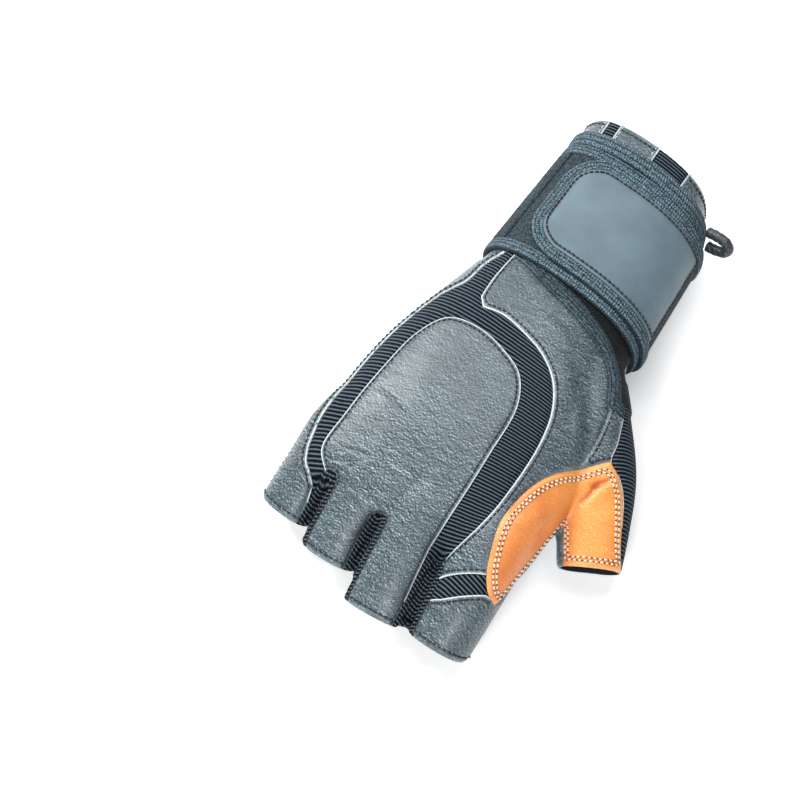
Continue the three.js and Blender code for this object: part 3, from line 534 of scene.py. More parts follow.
forkStarts = [("fourchette_index", "index", "middle", 1.050, 0.965),
              ("fourchette_middle", "middle", "ring", 1.020, 0.910),
              ("fourchette_pinky", "ring", "pinky", 0.985, 0.870)]
panelCuts = [(name, fourchetteOutline(one, other, back), fourchetteOutline(one, other, palm))
             for name, one, other, back, palm in forkStarts] + [
    ("knuckle_panel", outline("knuckle", [[-0.155, 1.5], [0.345, 1.5]]), None),
    ("ribbed_band", outline("bandPinky", "bandWrist", "bandThumb", [[-0.17, 1.2], [0.36, 1.2]]), None),
    ("pinky_side_panel", outline("bandPinky", [[far, -0.1], [far, 1.5], [0.36, 1.5]]),
     outline("palmPinky", [[far, 0.73], [far, -0.1]])),
    ("thumb_outer_mesh", outline("meshBack", [[-1, 0.95], [-1, 0.27]]),
     outline("meshPalm", [[-1, 0.95], [-1, 0.23]])),
    ("palm_leather", outline("webBack", seams["meshBack"][3:], [[-0.8, 0.95], [-0.52, 1.085]]),
     outline("thumbPalm", [[-0.52, 0.8]], "fingerPalm", [[far, 0.7], [far, -0.1]])),
    ("index_rib_insert", outline("ribInsertEdge", insertTip), None),
    ("index_tip_panel", outline([[-0.13, 1.15], [-0.40, 1.05], [-0.7, 1.05], [-0.7, 1.5], [-0.13, 1.5]]),
     None),
    ("wrist_knit_gusset", outline("gusset", [[-0.7, 0.33], [-0.7, -0.3], [0.238, -0.3]]), None),
    ("thumb_base_strip", outline("thumbBack", [[-0.9, 0.24], [-0.9, 0.56]]), None),
    ("finger_palm_leather", None, outline("fingerPalm", [[far, 0.9], [far, 1.6], [-far, 1.6], [-far, 1.2]])),
    ("thumb_palm_leather", None, outline([[far, -0.3], [far, 1.6], [-far, 1.6], [-far, -0.3]])),
]
print("stage: surface")
whole = leatherSurface()
skew = hand["cuffSkew"]
hemRoom = {"beside": 2.5, "above": 4, "deep": 6, "elsewhere": -9.0}

# Hems: the surface ends at each finger's last section and at the sleeve's rim
hemGaps = []
for name, rows in digits.items():
    place, along, across, rise = digitAxis(name, np.array(1.0))
    offset = whole["points"] - place
    reachOut = offset @ along
    beside = np.abs(offset @ across) < rows["half"][-1] + hemRoom["beside"]
    level = np.abs(offset @ rise) < rows["deep"][-1] + hemRoom["above"]
    hemGaps.append(np.where(beside & level & (reachOut > -hemRoom["deep"]), reachOut, hemRoom["elsewhere"]))
rim = -hand["cuffLength"] - (whole["points"][:, 1] + skew * (whole["points"][:, 0] - body["centre"][0]))
whole, _ = splitSurface(whole, np.maximum(np.max(hemGaps, axis=0), rim))
wristLine = -0.09 * long
sleeve, rest = splitSurface(whole, whole["points"][:, 1] - wristLine + skew * whole["points"][:, 0])
panels = {}
for name, back, palm in panelCuts:
    panels[name], rest = splitSurface(rest, roomGap(rest, back, palm))
panels["thumb_side_panel"] = rest


# How far a point lies outside the black strip on the thumb's inner side
def innerStripGap(points, height=34, start=0.5):
    shares = np.linspace(0.3, 1, 60)
    place, along, across, rise = digitAxis("thumb", shares)
    nearest = np.abs(((points[:, None] - place) * along).sum(2)).argmin(1)
    offset = points - place[nearest]
    half, deep = (eased(digits["thumb"], "at", shares, key)[nearest] for key in ("half", "deep"))
    up, out = (offset * rise[nearest]).sum(1) / deep, (offset * across[nearest]).sum(1) / half
    away = (np.degrees(np.arctan2(up, out)) - height) * math.pi / 180 * deep
    return np.maximum(np.maximum(away, (start - shares[nearest]) * 40), -30 * out)


panels["thumb_inner_strip"], panels["palm_leather"] = splitSurface(
    panels["palm_leather"], innerStripGap(panels["palm_leather"]["points"]))

# Elastic inserts in the sleeve's rim
insertDepth = 0.26 * hand["cuffLength"]
for name, start, end in (("cuff_insert_narrow", 0.30, 0.39), ("cuff_insert_wide", -0.25, -0.01)):
    places = sleeve["points"][:, :2].copy()
    places[:, 1] += skew * places[:, 0]
    box = np.array([[start, -2], [end, -2], [end, 0], [start, 0]]) * [hand["cuffWidth"], hand["cuffLength"]]
    box[2:, 1] = insertDepth - hand["cuffLength"]
    gap = np.maximum(outlineGap(box, places), tall / 2 - sleeve["points"][:, 2])
    panels[name], sleeve = splitSurface(sleeve, gap)
panels["cuff_sleeve"] = sleeve

# Camera, light and floor

camera = {
    "place": (-179.67, 406.57, 811.20), "right": (-0.8434, -0.5373, 0.0), "up": (0.4787, -0.7515, 0.4540),
    "back": (-0.2439, 0.3829, 0.8910), "lens": 107.2, "sensor": 36,
}
view = bpy.data.cameras.new("camera")
view.lens, view.sensor_width, view.clip_end = camera["lens"], camera["sensor"], 20
eye = linked("camera", view)
turn = Matrix((camera["right"], camera["up"], camera["back"])).transposed().to_4x4()
eye.matrix_world = Matrix.Translation(Vector((np.array(camera["place"]) + handPlace) * millimetre)) @ turn
bpy.context.scene.camera = eye

lamps = [
    ("key", (0.66, -0.12, 0.66), 0.30, 10.0, (1.0, 0.99, 0.97)),
    ("top", (0.10, -0.22, 0.92), 0.60, 5.5, (0.97, 0.98, 1.0)),
    ("front", (-0.15, 0.75, 0.50), 0.25, 5.0, (1.0, 1.0, 1.0)),
]
for name, place, size, watts, tint in lamps:
    lamp = bpy.data.lights.new(name, "AREA")
    lamp.shape, lamp.size, lamp.energy, lamp.color = "SQUARE", size, watts, tint
    holder = linked(name, lamp)
    holder.location = place
    holder.rotation_euler = (-Vector(place)).to_track_quat("-Z", "Y").to_euler()
world = bpy.data.worlds.new("studio")
world.use_nodes = True
world.node_tree.nodes["Background"].inputs["Color"].default_value = (0.95, 0.97, 1.0, 1)
world.node_tree.nodes["Background"].inputs["Strength"].default_value = 0.33
bpy.context.scene.world = world
bpy.context.scene.view_settings.view_transform = "Standard"

# Materials

def newMaterial(name):
    material = bpy.data.materials.new(name)
    material.use_nodes = True
    tree = material.node_tree
    tree.nodes.clear()
    finish = tree.nodes.new("ShaderNodeOutputMaterial")
    shader = tree.nodes.new("ShaderNodeBsdfPrincipled")
    tree.links.new(shader.outputs[0], finish.inputs["Surface"])
    return material, tree, shader


def fill(tree, socket, value):
    if isinstance(value, bpy.types.NodeSocket):
        tree.links.new(value, socket)
    elif hasattr(socket.default_value, "__len__") and not hasattr(value, "__len__"):
        socket.default_value = [value] * len(socket.default_value)
    elif hasattr(value, "__len__") and len(value) == 3 and len(socket.default_value) == 4:
        socket.default_value = (*value, 1)
    else:
        socket.default_value = value


def add(tree, kind, output=0, inputs=None, **settings):
    node = tree.nodes.new(kind)
    for key, value in settings.items():
        setattr(node, key, value)
    for key, value in (inputs or {}).items():
        fill(tree, node.inputs[key], value)
    return node.outputs[output]


def calc(tree, operation, a, b=0.0, c=0.0):
    return add(tree, "ShaderNodeMath", 0, {0: a, 1: b, 2: c}, operation=operation)


def stretch(tree, value, low, high, to=(0.0, 1.0)):
    return add(tree, "ShaderNodeMapRange", 0,
               {"Value": value, "From Min": low, "From Max": high, "To Min": to[0], "To Max": to[1]})


def blendColour(tree, share, one, other):
    return add(tree, "ShaderNodeMix", "Result", {"Factor": share, "A": one, "B": other}, data_type="RGBA")


# Object coordinates in millimetres
def placeIn(tree, turned=(0, 0, 0)):
    place = add(tree, "ShaderNodeTexCoord", "Object")
    return add(tree, "ShaderNodeMapping", 0, {"Vector": place, "Rotation": turned, "Scale": [1000] * 3})


def noiseAt(tree, place, size, detail=3.0, rough=0.55):
    return add(tree, "ShaderNodeTexNoise", "Fac",
               {"Vector": place, "Scale": 1 / size, "Detail": detail, "Roughness": rough})


def raised(tree, height, distance):
    return add(tree, "ShaderNodeBump", 0,
               {"Height": height, "Distance": distance * millimetre, "Strength": 1.0})


# A value stored on the piece's points, in millimetres
def held(tree, name):
    return add(tree, "ShaderNodeAttribute", "Fac", attribute_name=name)


# A colour as seen on a screen, turned into light
def colour(red, green, blue):
    return tuple(((value / 255 + 0.055) / 1.055) ** 2.4 if value > 10 else value / 255 / 12.92
                 for value in (red, green, blue))


# Leather: small pebbles and longer wrinkles with a painted lit side, a painted shaded side and a painted
# highlight where most lit, pale wear at the edges, and pale cut edges
def leather(name, deep, main, wearAndHighlight, core, grain=0.3, crease=0.5, gloss=0.34, contrast=0.95):
    material, tree, shader = newMaterial(name)
    place = placeIn(tree)
    warp = add(tree, "ShaderNodeTexNoise", "Color", {"Vector": place, "Scale": 0.55, "Detail": 1.0})
    shift = add(tree, "ShaderNodeVectorMath", 0, {0: warp, "Scale": 1.2}, operation="SCALE")
    lightSide = (-0.3, -0.95, 0.2)

    # Height of the pebbles and wrinkles a little way towards the light
    def heightAt(reach):
        moved = add(tree, "ShaderNodeVectorMath", 0, {0: place, 1: [reach * share for share in lightSide]},
                    operation="ADD")
        bent = add(tree, "ShaderNodeVectorMath", 0, {0: moved, 1: shift}, operation="ADD")
        cell = add(tree, "ShaderNodeTexVoronoi", "Distance", {"Vector": bent, "Scale": 1 / 0.95})
        fine = noiseAt(tree, moved, 0.85, 2.0, 0.6)
        drawn = add(tree, "ShaderNodeMapping", 0,
                    {"Vector": moved, "Rotation": (0, 0, 0.9), "Scale": (0.5, 1.3, 1)})
        wrinkle = noiseAt(tree, drawn, 3.4, 3.0, 0.6)
        height = calc(tree, "MULTIPLY_ADD", fine, 1.3, calc(tree, "MULTIPLY", cell, -0.55))
        return height, calc(tree, "MULTIPLY", wrinkle, 4.0 * crease)

    here, wrinkles = heightAt(0.0)
    ahead, wrinklesAhead = heightAt(0.26)
    broad = noiseAt(tree, place, 15.0, 4.0, 0.55)
    worked = stretch(tree, noiseAt(tree, place, 10.0, 3.0, 0.5), 0.44, 0.6, (0.35, 1.0))
    # Painted light and shade: the sides of pebbles and wrinkles that face the light are coloured lighter, the
    # far sides darker
    slope = calc(tree, "SUBTRACT", here, ahead)
    longSlope = calc(tree, "MULTIPLY", calc(tree, "SUBTRACT", wrinkles, wrinklesAhead), worked)
    lit = stretch(tree, calc(tree, "ADD", slope, longSlope), -0.20, 0.32)
    base = blendColour(tree, calc(tree, "MULTIPLY_ADD", lit, contrast, 0.97 - contrast), deep, main)
    # A painted highlight on the most lit sides, in the same pale colour as the wear at the edges
    base = blendColour(tree, calc(tree, "MULTIPLY", stretch(tree, lit, 0.66, 1.0), 0.75), base, wearAndHighlight)
    base = blendColour(tree, calc(tree, "MULTIPLY", stretch(tree, broad, 0.62, 0.38), 0.22), base, deep)
    # Darker by the stored value: painted shade in the folds and on the thumb's inner side, and the pull loop's
    # own darker tone
    base = blendColour(tree, stretch(tree, held(tree, "shade"), 0.0, 1.2, (0.0, 0.85)), base, deep)
    rubbed = calc(tree, "MULTIPLY", stretch(tree, held(tree, "edge"), 2.0, 0.0),
                  stretch(tree, broad, 0.35, 0.6))
    base = blendColour(tree, calc(tree, "MULTIPLY", rubbed, 0.35), base, wearAndHighlight)
    # Darker along the stitch rows, in the grooves that they press in
    sewn = stretch(tree, held(tree, "row"), 0.6, 0.1)
    base = blendColour(tree, calc(tree, "MULTIPLY", sewn, 0.25), base, deep)
    shown = stretch(tree, calc(tree, "MULTIPLY_ADD", lit, 0.3, held(tree, "cut")), 0.65, 0.4)
    base = blendColour(tree, shown, base, core)
    fill(tree, shader.inputs["Base Color"], base)
    rough = calc(tree, "MULTIPLY_ADD", calc(tree, "SUBTRACT", 1.0, lit), 0.2, gloss)
    fill(tree, shader.inputs["Roughness"], calc(tree, "MULTIPLY_ADD", shown, 0.4, rough))
    shader.inputs["Specular IOR Level"].default_value = 0.55
    shader.inputs["Coat Weight"].default_value = 0.25
    shader.inputs["Coat Roughness"].default_value = 0.32
    fill(tree, shader.inputs["Normal"], raised(tree, calc(tree, "ADD", here, wrinkles), grain))
    return material


# Ribbed knit: parallel cords across the strip, crossed by finer ones where it is a waffle
def ribbed(name, low, high, pitch, waffle=0.0):
    material, tree, shader = newMaterial(name)
    place = placeIn(tree)
    wander = calc(tree, "MULTIPLY_ADD", noiseAt(tree, place, 3.0, 2.0), 0.35, held(tree, "run"))
    turn = 2 * math.pi / pitch
    cord = stretch(tree, calc(tree, "SINE", calc(tree, "MULTIPLY", wander, turn)), -1.0, 1.0)
    thread = noiseAt(tree, place, 0.32, 2.0, 0.7)
    # Painted shade in the grooves between the cords and a painted highlight on their crowns, over the knit's
    # own dark yarn
    base = blendColour(tree, calc(tree, "POWER", cord, 3.0), low, high)
    if waffle:
        sides = tree.nodes.new("ShaderNodeSeparateXYZ")
        tree.links.new(placeIn(tree, (0, 0, 0.15)), sides.inputs[0])
        cross = stretch(tree, calc(tree, "SINE", calc(tree, "MULTIPLY", sides.outputs[0], turn)), -1, 0.4)
        # Painted shade in the sunk squares of the waffle
        sunk = calc(tree, "SUBTRACT", 1.0, cross)
        base = blendColour(tree, calc(tree, "MULTIPLY", sunk, waffle), base, low)
        cord = calc(tree, "MULTIPLY", cord, calc(tree, "MULTIPLY_ADD", cross, waffle, 1 - waffle))
    base = blendColour(tree, calc(tree, "MULTIPLY", stretch(tree, thread, 0.45, 0.7), 0.5), base, low)
    fill(tree, shader.inputs["Base Color"], base)
    shader.inputs["Roughness"].default_value = 0.85
    shader.inputs["Specular IOR Level"].default_value = 0.12
    height = calc(tree, "MULTIPLY_ADD", thread, 0.3, cord)
    fill(tree, shader.inputs["Normal"], raised(tree, height, 0.35))
    return material


# Granular grip cloth
def gripCloth(name, low, high):
    material, tree, shader = newMaterial(name)
    place = placeIn(tree)
    grain = add(tree, "ShaderNodeTexVoronoi", "Distance", {"Vector": place, "Scale": 1 / 0.45})
    fleck = noiseAt(tree, place, 0.5, 3.0, 0.7)
    base = blendColour(tree, stretch(tree, fleck, 0.42, 0.68), low, high)
    fill(tree, shader.inputs["Base Color"], base)
    shader.inputs["Roughness"].default_value = 0.88
    fill(tree, shader.inputs["Normal"], raised(tree, grain, -0.3))
    return material


# Knitted tape or pile: fuzzy, with soft ribs across it and grooves along it where their spacing is given
def knit(name, low, high, fuzz=0.35, pitch=0.0, cords=0.0):
    material, tree, shader = newMaterial(name)
    place = placeIn(tree)
    curl = noiseAt(tree, place, 0.55, 4.0, 0.75)
    tuft = add(tree, "ShaderNodeTexVoronoi", "Distance", {"Vector": place, "Scale": 1 / 0.6})
    mix = stretch(tree, curl, 0.42, 0.58)
    height = calc(tree, "MULTIPLY_ADD", tuft, -0.6, curl)
    if pitch:
        turn = calc(tree, "MULTIPLY", held(tree, "run"), 2 * math.pi / pitch)
        wave = stretch(tree, calc(tree, "SINE", turn), -1, 1)
        # Painted shade in the troughs between the ribs
        mix = calc(tree, "MULTIPLY", mix, calc(tree, "MULTIPLY_ADD", wave, 0.35, 0.65))
        height = calc(tree, "MULTIPLY_ADD", wave, 0.8, height)
    if cords:
        line = calc(tree, "COSINE", calc(tree, "MULTIPLY", held(tree, "edge"), 2 * math.pi / cords))
        groove = stretch(tree, line, 0.35, 0.95, (0.0, 0.75))
        # Painted shade in the grooves along the tape
        mix = calc(tree, "MULTIPLY", mix, calc(tree, "SUBTRACT", 1.0, groove))
        mix = calc(tree, "MULTIPLY", mix, stretch(tree, held(tree, "edge"), 5.4, 4.8, (0.1, 1.0)))
    base = blendColour(tree, mix, low, high)
    fill(tree, shader.inputs["Base Color"], base)
    shader.inputs["Roughness"].default_value = 0.9
    shader.inputs["Specular IOR Level"].default_value = 0.25
    fill(tree, shader.inputs["Normal"], raised(tree, height, fuzz))
    return material


# Smooth fine cloth of the bare label patch
def plainCloth(name, low, high):
    material, tree, shader = newMaterial(name)
    place = placeIn(tree)
    broad = noiseAt(tree, place, 14.0, 3.0)
    weave = calc(tree, "SINE", calc(tree, "MULTIPLY", held(tree, "run"), 2 * math.pi / 0.7))
    speck = noiseAt(tree, place, 0.3, 2.0)
    base = blendColour(tree, stretch(tree, broad, 0.35, 0.65), low, high)
    base = blendColour(tree, calc(tree, "MULTIPLY", stretch(tree, speck, 0.5, 0.8), 0.12), base, high)
    base = blendColour(tree, stretch(tree, held(tree, "edge"), 1.0, 0.0), base, colour(70, 88, 96))
    fill(tree, shader.inputs["Base Color"], base)
    shader.inputs["Roughness"].default_value = 0.62
    shader.inputs["Sheen Weight"].default_value = 0.15
    fill(tree, shader.inputs["Normal"], raised(tree, calc(tree, "MULTIPLY_ADD", weave, 0.15, speck), 0.05))
    return material


# Thread, cut edges and other small trim
def trim(name, low, high, rough=0.7, size=0.4, depth=0.08):
    material, tree, shader = newMaterial(name)
    place = placeIn(tree)
    fleck = noiseAt(tree, place, size, 3.0, 0.65)
    fill(tree, shader.inputs["Base Color"], blendColour(tree, stretch(tree, fleck, 0.35, 0.68), low, high))
    shader.inputs["Roughness"].default_value = rough
    fill(tree, shader.inputs["Normal"], raised(tree, fleck, depth))
    return material


blackLeather = leather("black_leather", colour(10, 17, 20), colour(102, 123, 133), colour(154, 177, 188),
                       colour(192, 202, 202))
orangeLeather = leather("orange_leather", colour(176, 78, 30), colour(246, 162, 76), colour(252, 198, 122),
                        colour(250, 170, 90), 0.1, 0.3, 0.4, 0.35)
ribKnit = ribbed("rib_knit", colour(1, 2, 3), colour(88, 104, 118), 1.35)
forkKnit = ribbed("fork_knit", colour(1, 2, 3), colour(98, 114, 128), 1.3, 0.7)
padCloth = gripCloth("grip_cloth", colour(34, 44, 64), colour(78, 94, 122))
bindingKnit = knit("knit_binding", colour(6, 9, 11), colour(122, 150, 164), 0.45, 1.15, 1.5)
pileKnit = knit("loop_pile", colour(2, 3, 4), colour(72, 90, 99), 0.9)
gussetKnit = knit("gusset_knit", colour(4, 6, 8), colour(92, 114, 126), 0.5, 1.15, 1.5)
labelCloth = plainCloth("label_cloth", colour(77, 95, 104), colour(86, 106, 116))
lining = trim("lining", colour(14, 16, 18), colour(34, 39, 44), 0.9, 0.6, 0.2)
darkThread = trim("dark_thread", colour(5, 6, 8), colour(20, 23, 27), 0.5, 0.3)
creamThread = trim("cream_thread", colour(196, 164, 132), colour(246, 228, 206), 0.6, 0.3)
brownThread = trim("brown_thread", colour(66, 34, 16), colour(112, 62, 28), 0.6, 0.3)
paleThread = trim("pale_thread", colour(160, 168, 166), colour(214, 220, 216), 0.6, 0.3)
webbing = trim("webbing", colour(16, 22, 23), colour(54, 68, 70), 0.85, 0.5, 0.25)
floorPaper = trim("floor_paper", colour(246, 246, 246), colour(250, 250, 250), 0.9, 40.0, 0.0)
floorShader = next(node for node in floorPaper.node_tree.nodes if node.type == "BSDF_PRINCIPLED")
floorShader.inputs["Emission Color"].default_value = (1, 1, 1, 1)
floorShader.inputs["Emission Strength"].default_value = 0.35

# The panels: each a sheet of its own thickness, domed at its border where it is turned in or cut

print("stage: panels")


def borderEdges(faces):
    edges = faceEdges(faces)
    _, index, count = np.unique(np.sort(edges, axis=1), axis=0, return_index=True, return_counts=True)
    return edges[index[count == 1]]


def borderSamples(surface):
    points, edges = surface["points"], borderEdges(surface["faces"])
    return np.concatenate([points[edges[:, 0]], (points[edges[:, 0]] + points[edges[:, 1]]) / 2])


def treeOf(samples):
    tree = KDTree(len(samples))
    for index, place in enumerate(samples):
        tree.insert(place, index)
    tree.balance()
    return tree


# How far places lie from the nearest sample, and far off where there is none
def gapTo(samples, places):
    if not len(samples):
        return np.full(len(places), 99.0)
    tree = treeOf(samples)
    return np.array([tree.find(place)[2] for place in places])


def borderGap(surface):
    gap = gapTo(borderSamples(surface), surface["points"])
    gap[np.unique(borderEdges(surface["faces"]))] = 0
    return gap


# What lies beyond each stretch of a panel's border: the name of the next panel, or free at a hem
borders = {name: borderSamples(surface) for name, surface in panels.items()}
sampleNames = np.concatenate([[name] * len(samples) for name, samples in borders.items()])
sampleTree = treeOf(np.concatenate(list(borders.values())))


def beyond(name, sample, reach=0.5):
    for _, index, distance in sampleTree.find_n(sample, 6):
        if sampleNames[index] != name and distance < reach:
            return sampleNames[index]
    return "free"


nextTo = {name: np.array([beyond(name, sample) for sample in samples]) for name, samples in borders.items()}


# How far a panel's points lie from the stretches of its border that some neighbours share
def gapAlong(name, kinds):
    chosen = borders[name][np.isin(nextTo[name], kinds)]
    return gapTo(chosen, panels[name]["points"])


def crumple(points, size, seed, squeeze):
    shifted = points * np.array(squeeze) / size + seed * 7.31
    return np.array([noise.noise(place) for place in shifted])


# A sheet between an outer and an inner surface, closed along its border
def closedSheet(name, outer, inner, faces, materials):
    edges = borderEdges(faces)
    count = len(outer)
    allFaces = faces.tolist() + (faces[:, ::-1] + count).tolist()
    allFaces += np.stack([edges[:, 1], edges[:, 0], edges[:, 0] + count, edges[:, 1] + count], -1).tolist()
    return newObject(name, np.concatenate([outer, inner]), allFaces, materials)


# Main folds: a row per fold, with its middle, the way it runs in degrees from +X, its reach, width and depth
folds = table("across along run reach width depth", [
    [-0.420, 0.760, 62, 14, 3.2, 0.9],
    [-0.525, 0.552, 53, 4, 1.0, -1.2],
    [-0.505, 0.600, 77, 5, 1.0, -1.2],
    [-0.545, 0.575, 75, 9, 2.4, 0.6],
    [-0.455, 0.600, 70, 10, 2.6, 0.7],
    [-0.330, 0.430, 118, 16, 3.0, 0.5],
    [-0.250, 0.330, 128, 14, 2.6, -0.5],
    [-0.150, 0.250, 140, 15, 3.0, 0.45],
    [-0.380, 0.520, 105, 13, 2.2, 0.45],
    [0.290, 0.700, 158, 9, 0.6, -0.5],
    [0.325, 0.975, 40, 7, 0.6, -0.5],
    [0.315, 0.940, 22, 8, 0.6, -0.5],
    [0.310, 0.905, 5, 8, 0.6, -0.4],
    [0.060, 0.930, 70, 9, 1.0, -0.25],
    [-0.020, 0.950, 110, 9, 1.0, -0.25],
    [-0.020, 0.860, 80, 20, 2.6, 0.35],
    [0.240, 0.900, 84, 16, 2.4, 0.3],
])


def foldHeight(points):
    height = np.zeros(len(points))
    for row in range(len(folds["across"])):
        angle = math.radians(folds["run"][row])
        offset = points[:, :2] - np.array([folds["across"][row] * wide, folds["along"][row] * long])
        along = offset @ [math.cos(angle), math.sin(angle)]
        off = offset @ [-math.sin(angle), math.cos(angle)] + 0.02 * along ** 2
        height += folds["depth"][row] * np.exp(
            -(off / folds["width"][row]) ** 2 - (along / folds["reach"][row]) ** 4)
    return np.where(points[:, 2] > 0.35 * tall * np.exp(-((points[:, 1] - 60) / 90) ** 2), height, 0)


# Each panel's material and how far its middle stands over the surface, and each material's slot
panelLooks = {
    "knuckle_panel": (blackLeather, 0.35), "ribbed_band": (ribKnit, -0.25),
    "pinky_side_panel": (blackLeather, 0.3), "thumb_outer_mesh": (ribKnit, -0.2),
    "palm_leather": (orangeLeather, 0.45), "index_rib_insert": (ribKnit, -0.2),
    "index_tip_panel": (blackLeather, 0.3), "wrist_knit_gusset": (gussetKnit, -0.1),
    "thumb_base_strip": (blackLeather, 0.2), "thumb_inner_strip": (blackLeather, 0.1),
    "thumb_side_panel": (blackLeather, 0.3), "finger_palm_leather": (blackLeather, 0.2),
    "thumb_palm_leather": (blackLeather, 0.2), "cuff_sleeve": (blackLeather, 0.0),
    "cuff_insert_narrow": (ribKnit, -0.2), "cuff_insert_wide": (ribKnit, -0.2),
    "fourchette_index": (forkKnit, 0.3), "fourchette_middle": (forkKnit, 0.3),
    "fourchette_pinky": (forkKnit, 0.3),
}
slots = {blackLeather: "black_leather", orangeLeather: "orange_leather", ribKnit: "rib_knit",
         forkKnit: "rib_knit", gussetKnit: "knit_binding"}
# How the knits' ribs run: shares of the way across and of the way along
ribRuns = {"thumb_outer_mesh": (0.62, -0.78), "index_rib_insert": (0.25, 1), "fourchette_index": (0, 1),
           "fourchette_middle": (0, 1), "fourchette_pinky": (0, 1)}
knits = ["ribbed_band", "index_rib_insert", "thumb_outer_mesh", "wrist_knit_gusset", "cuff_insert_narrow",
         "cuff_insert_wide"]
rawBeside = [name for name in knits if name != "wrist_knit_gusset"]
leathers = ["thumb_inner_strip", "knuckle_panel", "pinky_side_panel", "thumb_side_panel", "index_tip_panel",
            "thumb_base_strip", "finger_palm_leather", "thumb_palm_leather", "palm_leather", "cuff_sleeve"]
fingerBacks = leathers[1:5]
forks = ["fourchette_index", "fourchette_middle", "fourchette_pinky"]
# Rows of stitches: the panel, what lies beyond its border there, how far in, and the thread
stitchRows = [
    ("knuckle_panel", ["ribbed_band"], 1.5, "dark"),
    ("pinky_side_panel", ["ribbed_band"], 1.5, "dark"),
    ("pinky_side_panel", ["finger_palm_leather", "palm_leather"], 1.5, "dark"),
    ("thumb_side_panel", ["ribbed_band", "index_rib_insert", "wrist_knit_gusset", "index_tip_panel"], 1.5,
     "dark"),
    ("index_tip_panel", ["index_rib_insert"], 1.5, "dark"),
    ("thumb_base_strip", ["palm_leather", "thumb_side_panel", "thumb_palm_leather"], 1.4, "dark"),
    ("finger_palm_leather", ["palm_leather"], 1.9, "dark"),
    ("thumb_palm_leather", ["thumb_outer_mesh"], 1.9, "dark"),
    ("cuff_sleeve", ["free"], 2.2, "dark"),
    ("cuff_sleeve", ["cuff_insert_wide", "cuff_insert_narrow"], 1.4, "pale"),
    ("palm_leather", leathers + knits + ["free"], 2.3, "cream"),
    ("palm_leather", leathers + knits + ["free"], 3.5, "cream"),
] + [(panel, ["free"], 2.4, "dark") for panel in fingerBacks + ["finger_palm_leather", "thumb_palm_leather"]]
stitchRows += [(panel, forks, 1.1, "dark") for panel in fingerBacks]
threadRows = {thread: [] for thread in ("dark", "pale", "cream")}
finished = {}
seam = {
    "turnedIn": 0.25, "cutDeeper": 0.3, "cutReach": 2, "edgeWidth": 0.8, "rowDepth": 0.16, "forkGroove": 1.5,
    "tapeHeight": 0.7, "tapeMiddle": 2.4, "tapeHalf": 2.2,
}
uneven = {"broad": 0.22, "fine": 0.12, "rim": 0.5, "wrappedLevel": 0.15, "lowest": 1.6}
